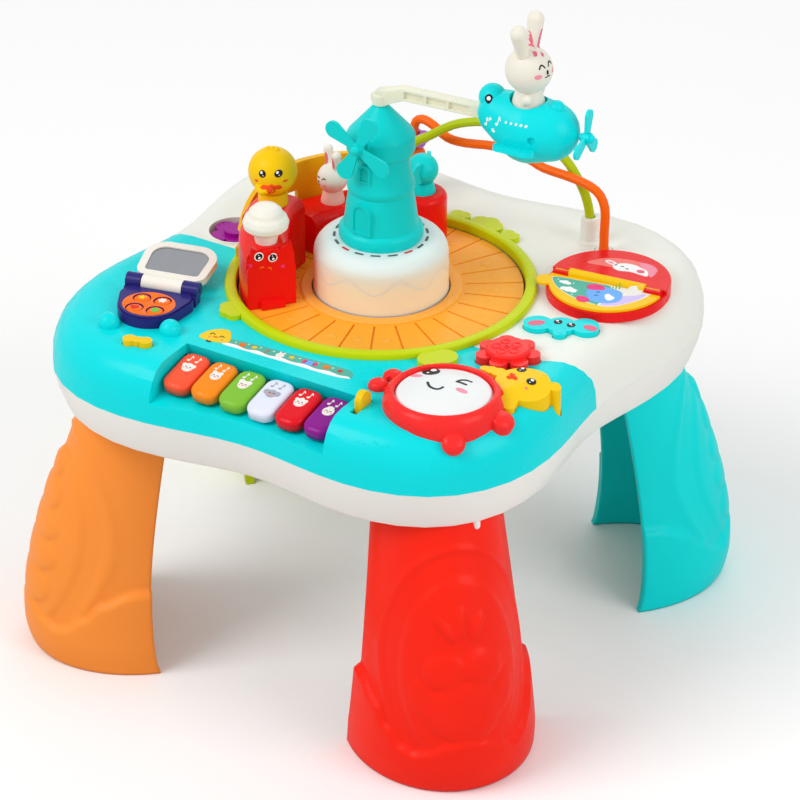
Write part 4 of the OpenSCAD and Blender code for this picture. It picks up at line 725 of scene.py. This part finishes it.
def key_skin(name, p):
    """A softer key, with round corners and edges, that stands for the CAD key. It gives back the key's middle
    line and its ends."""
    pts = [((v.co - p.o) / MM) for v in NODES[name].data.vertices]
    lo = [min(q.dot(a) for q in pts) for a in (p.right, p.up, p.out)]
    hi = [max(q.dot(a) for q in pts) for a in (p.right, p.up, p.out)]
    mx, my = (lo[0] + hi[0]) / 2, (lo[1] + hi[1]) / 2
    rings = [(lo[2] + 0.3, 0, 0), (hi[2] - KEY_EDGE, 0, 0)]
    for i in range(1, 8):
        t = pi / 2 * i / 7
        inwards = 1 - cos(t)
        rings.append((hi[2] - KEY_EDGE * (1 - sin(t)), KEY_EDGE * inwards, KEY_NOSE * inwards))
    verts, faces = [], []
    for up, side, front in rings:
        for cx, cy, start in ((hi[0], hi[1], 0), (lo[0], hi[1], 90), (lo[0], lo[1], 180), (hi[0], lo[1], 270)):
            r = BACK_CORNER if cy == hi[1] else FRONT_CORNER
            for i in range(9):
                a = radians(start + 90 * i / 8)
                x = cx + copysign(r, mx - cx) + r * cos(a)
                y = cy + copysign(r, my - cy) + r * sin(a)
                x = mx + (x - mx) * (1 - 2 * side / (hi[0] - lo[0]))
                y = my + (y - my) * (1 - (front + side) / (hi[1] - lo[1])) + (front - side) / 2
                verts.append(p.o + (p.right * x + p.up * y + p.out * up) * MM)
    n, last = 36, len(rings) - 1
    for k in range(last):
        faces += [(k * n + i, k * n + (i + 1) % n, (k + 1) * n + (i + 1) % n, (k + 1) * n + i) for i in range(n)]
    faces += [tuple(range(last * n, last * n + n)), tuple(range(n))[::-1]]
    me = mesh_of(f"{name}_skin", verts, faces, [look_of(name)], [len(f) == 4 for f in faces])
    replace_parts(settle(me, name), name)
    return mx, lo[1], hi[1]


for k in range(6):
    name = f"key_{k + 1}"
    lo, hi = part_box(name)
    mid = (lo + hi) / 2
    p = Print(name + "_icon", name, at=(mid.x / MM, mid.y / MM, hi.z / MM + 2),
              out=(0, -sin(KEY_SLOPE), cos(KEY_SLOPE)), right=(1, 0, 0))
    cx, front, back = key_skin(name, p)
    p.o = p.flat(cx, (front + back) / 2, 30)[0]
    length = back - front
    ink, face = "grey_ink" if k == 3 else "cream_ink", (cx, length * 0.06, 1.12)
    p.lay(moved(blob(HEADS[k]), *face), ink, step=1.3)
    for side in (-1, 1):
        p.lay(moved(band([(side * 2.2, 0.2), (side * 1.5, 0.7), (side * 0.8, 0.3)], 0.45, 3), *face),
              "black_ink", 1, step=0.9)
        p.lay(ellipse(cx + side * 2.8, face[1] - 1.2, 0.8, 0.5, n=10), "pink_ink", 1, step=0.8)
    p.lay(ellipse(cx, face[1] - 1, 1, 0.6, n=12), "rose_ink", 1, step=0.8)
    for dx in (-3.4, 3.2):
        p.lay(note(cx + dx, length * 0.3, 0.8), ink, step=0.9)
    p.done()

# ---- Printed strip above the keys, with the chick at its end ----
p = Print("strip_print", "front_cover", px=(287, 358.5), **TOP, lift=0.16)
p.shape([(229, 338.6), (250, 343.4), (270, 348.5), (290, 353.8), (310, 359.2), (330, 364.6), (346, 369.2),
         (352, 372.4), (353, 375.8), (348.5, 379), (330, 375), (300, 366.2), (270, 357.6), (245, 350.3),
         (224, 344.2), (222, 341.4), (225, 338.8)], "sea_ink", step=2.2)
p.shape([(224, 342.6), (236, 345), (246, 349.4), (258, 351), (268, 355.4), (281, 357.8), (292, 362), (305, 364.6),
         (316, 369), (328, 371.2), (339, 375.4), (348, 377), (348.5, 379), (330, 375.4), (300, 366.6), (270, 358),
         (245, 350.7), (224, 344.6)], "white_ink", 1)
for k, (x, y, ink) in enumerate(((242.4, 345.2, "orange"), (254.6, 347.8, "yellow"), (267, 351.6, "red"),
                                 (280.4, 355.2, "cream"), (291.8, 357.8, "yellow"), (309.5, 363.4, "blue"),
                                 (326.4, 367.6, "orange"), (340, 371.4, "red"))):
    ink += "_ink"
    u, v = p.uv(x, y)
    if k == 3:
        p.lay(blob([(u, v - 0.6, 3.2), (u - 1.6, v + 3.2, 1.1), (u + 1.6, v + 3.2, 1.1)]), ink, 2, step=1.2)
    elif k == 5:
        p.lay(ellipse(u, v, 3.4), ink, 2, step=1.2)
        for side in (-1, 1):
            p.lay(ellipse(u + side * 4.4, v + 0.6, 1.7, 2.5), "hot_pink_ink", 2, step=1.1)
    else:
        p.lay((ellipse(u, v, 2.7), star(u, v, 2.7), note(u, v, 0.6))[k % 3], ink, 2, step=1.2)
for x, y in ((236, 342.6), (249, 344.6), (261, 348), (274, 351.8), (300, 358.8), (318, 363.6), (333, 368.4)):
    p.lay(star(*p.uv(x, y), 1.1, 0.45, 4), "cream_ink", 2, step=0.9)
p.done("white")
p = Print("chick_print", "front_cover", px=(215.5, 336.6), **TOP, lift=0.2)
p.shape([(199.2, 336.6), (205, 332.4), (214, 329.8), (224, 329.6), (230, 331.4), (231.2, 335.6), (230.2, 341),
         (226, 343.2), (215, 342.2), (206, 340)], "yellow_ink", 2, step=1.8)
p.line([(210.6, 334.6), (212.8, 333.4), (215, 334.8)], 0.9, level=3)
p.line([(219.8, 337.6), (222, 336.6), (224.2, 338)], 0.9, level=3)
p.dot(215.6, 337.4, 2.2, "orange_ink", 1.2, level=3, step=1)
p.dot(209.4, 337.2, 1.2, "rose_ink", 0.8, level=3)
p.dot(222, 340.6, 1.2, "rose_ink", 0.8, level=3)
p.line([(206.6, 340.6), (208.4, 341.6), (210.4, 341.6)], 1, level=3)
p.done("yellow")

# ---- Book: page and cover scenes ----
p = Print("book_page_print", "book_page", px=(598, 293), **TOP, lift=0.14)
p.shape([(553, 276.6), (566, 277.8), (582.7, 280.9), (606, 284.6), (630, 288.6), (649.8, 292.2), (648.6, 296),
         (634, 302), (612, 306.6), (594.4, 304.6), (574.5, 298), (559.6, 289.2), (553.4, 282)],
        "cream_ink", step=2.4)
p.shape([(553.6, 277), (566, 278.2), (582.7, 281.3), (600, 284.2), (611, 287.4), (606, 295), (597, 304.8),
         (594.4, 304.2), (574.9, 297.6), (560, 288.9), (554, 282)], "sea_ink", 1, step=2.2)
p.shape([(612, 300), (622, 296.6), (634, 296), (645, 294.6), (643, 297.4), (632, 302), (613, 306), (600, 304.8)],
        "lilac_ink", 1, step=2)
for x, y, s in ((565.4, 282.4, 1), (568.6, 289.4, 1.4)):
    u, v = p.uv(x, y)
    puffs = [(u, v, 2.6 * s), (u - 2.8 * s, v - 0.6, 1.8 * s), (u + 2.8 * s, v - 0.4, 2.0 * s)]
    p.lay(blob(puffs), "white_ink", 2, step=1.3)
for x, y in ((558.4, 279.4), (573.6, 283.6), (577, 290.6), (584, 297.6), (571.8, 294.8)):
    p.lay(ellipse(*p.uv(x, y), 0.6, n=10), "white_ink", 2, step=0.8)
p.shape([(586, 293), (590, 288.6), (600, 287), (612, 289), (622, 293.4), (620, 300.6), (610, 303.4), (596, 302.4),
         (588, 298.6)], "blue_ink", 3, step=1.8)
for ear in ([(587, 286), (594, 284.6), (603, 286.6), (604.6, 290), (596, 290.4), (588.6, 289.4)],
            [(576.4, 297), (582, 296.4), (588, 298.6), (588.6, 301.6), (582, 302), (577.4, 300.4)]):
    p.shape(ear, "hot_pink_ink", 4, step=1.5)
p.line([(594.8, 296.2), (596.4, 295.4), (598, 296)], 0.7, level=4)
p.line([(596.6, 293), (598.2, 292.2), (599.8, 292.8)], 0.7, level=4)
p.shape([(604.6, 296), (608, 294.4), (611, 296), (614.4, 298.6), (610, 301), (606, 300)], "white_ink", 4, step=1.3)
for x in (609, 612.4, 615.8, 619.2):
    p.line([(x, 289.2), (x + 0.8, 286.8)], 0.8, "green_ink", 2)
p.done("white")
p = Print("book_case_print", "book_case", px=(622, 266), **TOP, lift=0.14)
p.shape([(587, 262.4), (598, 259.2), (612, 258.2), (630, 260), (646, 264.4), (657, 269.8), (655, 273), (640, 271.4),
         (620, 268.4), (602, 265.6)], "rose_ink", step=2.2)
p.shape([(640, 263.2), (650, 264.8), (657, 269.4), (655.6, 274), (650.6, 277.6), (646.6, 273), (642.6, 268.6)],
        "pink_ink", 1, step=1.8)
p.shape([(612.6, 267), (616, 264.6), (624, 263.6), (634, 265.2), (641, 268.2), (647.6, 272), (647, 276.6),
         (640.6, 275.2), (630, 272), (618, 270.6)], "white_ink", 2)
p.shape([(605, 261.2), (610, 260.4), (616, 263), (616.6, 265.6), (610.6, 264.6)], "white_ink", 2, step=1.4)
p.shape([(607.6, 262), (611, 261.8), (614.4, 263.8), (611.6, 264)], "pink_ink", 3, step=1.2)
p.dot(640.6, 272, 3.2, "ear_pink", 2.6, level=3)
for closed_eye in ([(621, 267.2), (622.6, 266.6), (624, 267.4)], [(625.6, 269.6), (627, 269), (628.4, 269.8)]):
    p.line(closed_eye, 0.7, level=3)
p.done("white")

# ---- Cake: icing line round it and dashes on top ----
CAKE_R = 49.5


def round_cake(x, y):
    """A place on the cake's wall, x mm round it and y mm up."""
    way_out = Vector((cos(x / CAKE_R), sin(x / CAKE_R), 0))
    found = hit("cake_dome", way_out * 0.08 + Vector((0, 0, y * MM)), -way_out)
    return found and (found[0], way_out)


def cake_point(px, py):
    return hit("cake_dome", EYE, way(px, py))[0] / MM


low_at, high_at = cake_point(373.4, 296), cake_point(400, 283.4)
wave_z, wave_h = (low_at.z + high_at.z) / 2, (high_at.z - low_at.z) / 2
wave_a = atan2(low_at.y, low_at.x)
wave = [(CAKE_R * a, wave_z - wave_h * cos(8 * (a - wave_a))) for a in map(radians, range(-180, 183, 2))]
p = Print("cake_icing", "cake_dome", at=(0, 0, 280), out=(0, -1, 0), lift=0.05)
p.lay(band(wave, 1.5), "ivory", swell=0.55, edge=0.75, step=1.4, place=round_cake)
p.done()
p = Print("cake_dashes", "cake_dome", at=(0, 0, 311), **TOP)
# The two red dashes in the photo are four places apart
a_1, a_2 = (atan2(q.y, q.x) for q in (cake_point(345.8, 248.6), cake_point(404.4, 250.6)))
count = round(2 * pi / ((a_2 - a_1) / 4))
for k in range(count):
    a = a_1 + 2 * pi * k / count
    arc = [(34.2 * cos(a + d), 34.2 * sin(a + d)) for d in (-0.085, -0.03, 0.03, 0.085)]
    p.lay(band(arc, 1.9, 3), "red_ink" if k in (0, 4) else "slate_ink", step=1.2)
p.done()

# ---- Turntable: one raised motif in each sector ----
p = Print("turntable_motifs", "turntable", at=(0, 0, 268.5), **TOP, lift=0.05)
SECTORS, MOTIF_R = 26, 84
for k in range(SECTORS):
    a = 360 / SECTORS * k
    x, y = MOTIF_R * cos(radians(a)), MOTIF_R * sin(radians(a))
    motif = (star(0, 0, 5), ellipse(0, 0, 4.2), heart(0, 0, 5), rose(0, 0, 4.8, 5, 0.22), star(0, 0, 4.8, 0.72, 4),
             note(0, 0, 0.95))[k % 6]
    hole = [] if k % 6 != 1 else [moved(ellipse(0, 0, 2.4, n=16), x, y, 1, a - 90)]
    p.lay(moved(motif, x, y, 1, a - 90), "orange", swell=0.45, edge=1, step=1.3, holes=hole)
p.done()

# ---- Train: engine's face ----
p = Print("engine_face", "train_cars", px=(266, 262), out=(0.777, -0.629, 0))
for x, y in ((258.9, 256.7), (272.8, 257.5)):
    p.eye(x, y, 2.7, ring="white_ink", shine=(0.1, -0.38))
p.dot(250.3, 266, 1.6, "hot_pink_ink", 1.2)
p.dot(282.8, 266.2, 1.6, "hot_pink_ink", 1.2)
p.line([(260.4, 268.4), (262, 267), (263.6, 267.6)], 0.8, "orange_ink")
p.line([(268.4, 267.8), (270.2, 267.6), (271.4, 269.2)], 0.8, "orange_ink")
p.line([(247.8, 262), (250.4, 251.4), (258, 245), (267, 243.2), (276, 244.4), (284.6, 250.4), (288, 258.6)], 1,
       "train_red", swell=0.5, edge=0.5)
p.done()

# ---- Riders' faces ----
p = Print("duck_rider_face", "duck_rider", px=(270.4, 178), out=(0.3, -0.95, 0.05))
p.eye(262.3, 173.9, 2.7)
p.eye(278.5, 173.6, 2.7)
p.dot(256.4, 180.4, 1.5, "beak", 0.9)
p.dot(285.4, 180.7, 1.5, "beak", 0.9)
p.shape([(260.2, 187.4), (263.6, 184.9), (268, 185.6), (271.2, 184.3), (274.6, 185.4), (279.4, 184.9),
         (282.4, 187.2), (278.6, 189.2), (271.2, 188.4), (264, 189.4)], "beak", 1, swell=0.7, step=1.1)
p.shape([(266.4, 189.4), (271.2, 188.6), (276, 189.4), (274.4, 192.4), (271.2, 193.6), (268, 192.6)], "beak",
        swell=0.6, step=1.1)
p.done()
p = Print("bunny_rider_face", "bunny_rider", px=(321, 179), out=(-0.05, -1, 0))
p.line([(316.2, 176.9), (318, 176.2), (319.6, 177.4)], 0.7)
p.line([(322, 179.6), (323.8, 178.6), (325.4, 179.8)], 0.7)
p.dot(318.8, 181.4, 0.7, "black_ink", 1)
p.line([(317.6, 184.2), (318.8, 183.6), (320, 184.6)], 0.6)
p.dot(324.6, 186, 1.3, "pink_ink", 0.9)
p.dot(314.4, 181.8, 0.9, "pink_ink", 0.7)
p.done()
for name, px in (("bunny_rider_ear_1", (322.2, 158)), ("bunny_rider_ear_2", (332.7, 163.4))):
    p = Print(name, "bunny_rider", px=px, out=(-0.05, -1, 0.1))
    p.lay(ellipse(0, 0, 1.5, 4.8, n=20), "ear_pink", step=1.1)
    p.done()
TRACK_R, TUB_A = 85.5, radians(101)  # where the elephant's car stands
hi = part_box("elephant_rider")[1]
front = Vector((-sin(TUB_A), cos(TUB_A), 0))
head = Vector((TRACK_R * cos(TUB_A), TRACK_R * sin(TUB_A), hi.z / MM - 12))
right = front.cross(Vector((0, 0, -1)))
p = Print("elephant_rider_face", "elephant_rider", at=head + front * 12, out=front, right=right)
for side in (-1, 1):
    p.lay(ellipse(side * 4.6, 2.6, 2), "black_ink", step=1.1)
    p.lay(ellipse(side * 4.6 - 0.5, 3.4, 0.7, n=12), "white_ink", 1, step=0.8)
    p.lay(ellipse(side * 7.6, -1.4, 1.3, 0.9, n=14), "pink_ink", step=0.9)
    p.lay(ellipse(side * 13.4, 1, 3.2, 5), "ear_pink", step=1.3)
p.done()

# ---- Pilot bunny ----
FACE_A = radians(-19)
face_out = Vector((cos(FACE_A), sin(FACE_A), 0))
p = Print("pilot_face", "pilot_bunny", px=(545, 71), out=face_out, right=(-face_out.y, face_out.x, 0))
nose = p.uv(547.6, 72.3)
for side in (-1, 1):
    ex, ey = p.uv(541.9, 67.2)
    cx, cy = p.uv(538.4, 77.4)
    ex, cx = nose[0] + side * abs(ex - nose[0]), nose[0] + side * abs(cx - nose[0])
    p.lay(band(curve([(ex - 2.4, ey - 1), (ex - 0.9, ey + 0.9), (ex + 0.9, ey + 0.9), (ex + 2.4, ey - 1)]), 0.95),
          "black_ink", step=0.9)
    p.lay(ellipse(cx, cy, 2.7, 1.7), "pink_ink", step=1.1)
    p.lay(band(curve([(nose[0], nose[1] - 2.2), (nose[0] + side * 1.1, nose[1] - 3.4),
                      (nose[0] + side * 2.4, nose[1] - 3)]), 0.6), "black_ink", step=0.8)
p.lay(ellipse(nose[0], nose[1], 1, 1.6), "black_ink", 1, step=0.8)
p.done()
for k, (px, turn) in enumerate((((530.4, 42.5), 3), ((542.8, 38.5), -14))):
    p = Print(f"pilot_ear_{k + 1}", "pilot_bunny", px=px, out=(0.72, -0.69, 0))
    p.lay(ellipse(0, 0, 1.6, 8.2, turn), "ear_pink", step=1.2)
    p.done()

# ---- Plane: eyes and small motifs ----
ARM_A = radians(5)
near_side = Vector((sin(ARM_A), -cos(ARM_A), 0))
p = Print("plane_motifs", "plane_body", px=(493, 124), out=near_side + Vector((-0.3, 0, 0)), right=(1, 0, 0))
for x, y, kind in ((486.4, 121.6, 0), (497.8, 121.4, 0), (490.2, 118.8, 1), (493.2, 130.6, 2)):
    u, v = p.uv(x, y)
    p.lay((note(u, v, 0.85), star(u, v, 1.6, 0.5, 4), rose(u, v, 2))[kind], "white_ink", step=1)
for x, y in ((506, 122.4), (511, 123.6), (516, 124.6), (521, 125.6), (526, 126.6)):
    p.dot(x, y, 0.9, "cream_ink", step=0.8)
p.done()
p = Print("plane_eye_1", "plane_body", px=(488.6, 98.6), out=near_side)
mirrored = p.o - near_side * 2 * p.o.dot(near_side)
for p in (p, Print("plane_eye_2", "plane_body", at=mirrored / MM, out=-near_side, right=(-1, 0, 0))):
    p.lay(ellipse(0, 0, 2.9), "black_ink", step=1)
    p.lay(ellipse(0.1, 0.2, 1.5, n=16), "white_ink", 1, step=0.9)
    p.done()

# ---- Legs: each moulded skin, with its reliefs, stands for the CAD leg ----
# Section, as in the solids: radius of the middle line, depth and half width, each at foot and top; bow, lip and wall
LEG = dict(mid=(184, 169), depth=(80, 56), half=(65, 46), bow=9, lip=5, wall=3)
BAND_EDGE = [(0, 44), (0.2, 42), (0.42, 34), (0.56, 30), (0.68, 33), (0.8, 43), (0.9, 56), (1, 66)]
OUTER_ARCH = [(0, 181), (0.4, 174), (0.7, 155), (0.86, 128), (0.91, 98), (0.87, 70), (0.78, 46), (0.66, 24)]
INNER_ARCH = [(0, 163), (0.3, 158), (0.56, 143), (0.72, 120), (0.77, 95), (0.73, 70), (0.62, 48), (0.46, 30)]
ARCH_W = 57  # half width of the leg where the arches' tables are 1
# Width of a relief's slope, height and half width of the arch's ridge, height of the field in it, plain part at the
# top, and height up to which the foot's lip grows
RISE, RIDGE, RIDGE_W, FIELD, PLAIN_TOP, LIP_GROWS = 5, 1.5, 2, 2, 14, 18
ROWS, COLS = 104, 96
# Raised forms inside the arch: middle across and up, half sizes, turn, height
FRUIT = [(0, 66, 25, 24, 0, 2.4), (-13, 96, 15, 13, 20, 2.2), (14, 97, 15, 13, -20, 2.2), (0, 131, 3.4, 11, 0, 2.2),
         (-12, 127, 3.4, 11, 32, 2.2), (12, 127, 3.4, 11, -32, 2.2), (-27, 74, 8, 15, 12, 1.4),
         (27, 74, 8, 15, -12, 1.4)]
SHELL = [(0, 58, 27, 17, 0, 2.9), (0, 84, 29, 15, 0, 2.9), (0, 107, 26, 14, 0, 2.9), (0, 130, 20, 14, 0, 2.9),
         (0, 153, 12, 13, 0, 2.6)]


def smooth_step(x):
    x = max(0, min(1, x))
    return x * x * (3 - 2 * x)


def at_height(table, x):
    for (xa, ya), (xb, yb) in zip(table, table[1:]):
        if x <= xb:
            return ya + (yb - ya) * smooth_step((x - xa) / (xb - xa))
    return table[-1][1]


ARCHES = [[(x * ARCH_W, z) for x, z in curve(t)] + [(-x * ARCH_W, z) for x, z in curve(t)[:0:-1]]
          for t in (OUTER_ARCH, INNER_ARCH)]


def leg_section(q):
    """Radius of the middle line, depth and half width, at a share q of the leg's height."""
    bow = LEG["bow"] * sin(pi * q ** 0.7)
    m, d, w = (LEG[k][0] + (LEG[k][1] - LEG[k][0]) * q for k in ("mid", "depth", "half"))
    return m + bow, d + bow * 0.62, w


def relief(y, z, w, tall, motif):
    """How far the carving stands out at y across a leg of half width w, z up."""
    x = y * ARCH_W / w
    under = smooth_step((at_height(BAND_EDGE, abs(y) / w) - z) / RISE + 0.5)
    h = LEG["lip"] * (0.7 + 0.3 * min(1, z / LIP_GROWS)) * under
    if z > tall - PLAIN_TOP:
        return h
    over = 1 - under
    h += RIDGE * exp(-(rim_distance((x, z), [ARCHES[0]]) / RIDGE_W) ** 2) * over
    if inside((x, z), ARCHES[1]):
        h += FIELD * smooth_step(rim_distance((x, z), [ARCHES[1]]) / RISE) * over
        tallest = 0
        for mx, mz, rx, rz, tilt, up in motif:
            ct, st = cos(radians(tilt)), sin(radians(tilt))
            ux, uz = (x - mx) * ct + (z - mz) * st, -(x - mx) * st + (z - mz) * ct
            r = (ux / rx) ** 2 + (uz / rz) ** 2
            if r < 1:
                tallest = max(tallest, up * sqrt(1 - r * r))
        h += tallest * over
    return h


def leg_skin(name, angle, motif):
    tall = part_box(name)[1].z / MM
    c, s = cos(radians(angle)), sin(radians(angle))
    verts, faces, row = [], [], COLS + 1
    for outer in (True, False):
        base = len(verts)
        for i in range(ROWS + 1):
            z = tall * i / ROWS
            m, d, w = leg_section(z / tall)
            for j in range(row):
                t = pi * (j / COLS - 0.5)
                nx, ny = cos(t) / d, sin(t) / w
                k = hypot(nx, ny)
                h = relief(w * sin(t), z, w, tall, motif) if outer else -LEG["wall"]
                x, y = m + d * cos(t) + nx / k * h, w * sin(t) + ny / k * h
                verts.append((MM * (x * c - y * s), MM * (x * s + y * c), MM * z))
        for i in range(ROWS):
            for j in range(COLS):
                a = base + i * row + j
                q = (a, a + 1, a + row + 1, a + row)
                faces.append(q if outer else q[::-1])
    far, smooth = base, len(faces)
    for j in range(COLS):
        faces.append((j, far + j, far + j + 1, j + 1))
    for i in range(ROWS):
        for j in (0, COLS):
            a, b = i * row + j, (i + 1) * row + j
            faces.append((a, b, far + b, far + a) if j == 0 else (a, far + a, far + b, b))
    me = mesh_of(f"{name}_skin", verts, faces, [look_of(name)], [i < smooth for i in range(len(faces))])
    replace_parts(settle(me, name), name)


for name, angle, motif in (("leg_orange", 225, SHELL), ("leg_red", 315, FRUIT), ("leg_teal", 45, SHELL),
                           ("leg_lime", 135, FRUIT)):
    leg_skin(name, angle, motif)

# ---- Small trim: a peg under the rim and the raised smile by the keys ----
PEG_AT, PEG_TURNS = (168.5, -143.6, 183), 28
PEG = [(0, 5.5), (1.6, 5.9), (2.6, 6.8), (3, 8), (3, 17)]
verts, faces = [], []
for k, (r, z) in enumerate(PEG):
    for i in range(PEG_TURNS):
        a, n = 2 * pi * i / PEG_TURNS, (i + 1) % PEG_TURNS
        verts.append((MM * (PEG_AT[0] + r * cos(a)), MM * (PEG_AT[1] + r * sin(a)), MM * (PEG_AT[2] + z)))
        if k:
            low, high = (k - 1) * PEG_TURNS, k * PEG_TURNS
            faces.append((low + i, low + n, high + n, high + i))
settle(mesh_of("rim_peg", verts, faces, [L["tray_white"]], [True] * len(faces)), "base_tray")
p = Print("smile_relief", "front_cover", px=(370, 443), right=(1, 0, 0), lift=0.02)
for part in ([(352.8, 440.2), (356.2, 441.8), (360, 441.4), (364.4, 443.8)],
             [(373.6, 441.4), (378.4, 444.6), (383.8, 446.6), (389.4, 446.4)]):
    p.line(part, 1.6, "shell_teal", swell=0.6, edge=0.8)
p.done()

# ---- Floor, backdrop and lamps ----
FLOOR_HALF, FLOOR_Z = 8, -0.0005
fm = bpy.data.materials.new("floor")
fm.use_nodes = True
ft = fm.node_tree
fb = ft.nodes["Principled BSDF"]
set_inputs(fb, Roughness=0.7, Specular_IOR_Level=0.1)
direct = ft.nodes.new("ShaderNodeLightPath").outputs["Is Camera Ray"]
ft.links.new(tint(ft, (0.72, 0.72, 0.71), (0.99, 0.99, 0.99), direct), fb.inputs["Base Color"])
corners = [(x * FLOOR_HALF, y * FLOOR_HALF, FLOOR_Z) for x, y in ((-1, -1), (1, -1), (1, 1), (-1, 1))]
floor = new_object("floor", mesh_of("floor", corners, [(0, 1, 2, 3)], [fm], [False]))

world = bpy.data.worlds.new("studio")
bpy.context.scene.world = world
world.use_nodes = True
wt = world.node_tree
wt.nodes.clear()
rays = wt.nodes.new("ShaderNodeLightPath").outputs
seen = rays["Is Camera Ray"]
for kind in ("Is Glossy Ray", "Is Transmission Ray"):
    either = wt.nodes.new("ShaderNodeMath")
    either.operation = "MAXIMUM"
    wt.links.new(seen, either.inputs[0])
    wt.links.new(rays[kind], either.inputs[1])
    seen = either.outputs[0]
ambient = node(wt, "ShaderNodeBackground", Color=(1, 1, 1, 1), Strength=0.56)
shown = node(wt, "ShaderNodeBackground", Color=(1, 1, 1, 1), Strength=1)
both = wt.nodes.new("ShaderNodeMixShader")
for k, source in enumerate((seen, ambient.outputs[0], shown.outputs[0])):
    wt.links.new(source, both.inputs[k])
wt.links.new(both.outputs[0], wt.nodes.new("ShaderNodeOutputWorld").inputs[0])


def lamp(name, at, power, size):
    data = bpy.data.lights.new(name, "AREA")
    data.energy, data.size = power, size
    o = new_object(name, data)
    o.location = at
    o.rotation_mode = "QUATERNION"
    o.rotation_quaternion = (Vector((0, 0, 0.25)) - Vector(at)).to_track_quat("-Z", "Y")


lamp("key_light", (-1.3, -1.9, 2.5), 50, 1.8)
lamp("fill_light", (2.4, -0.2, 1.6), 24, 1.6)
lamp("back_light", (-0.6, 2.2, 2), 10, 1.6)
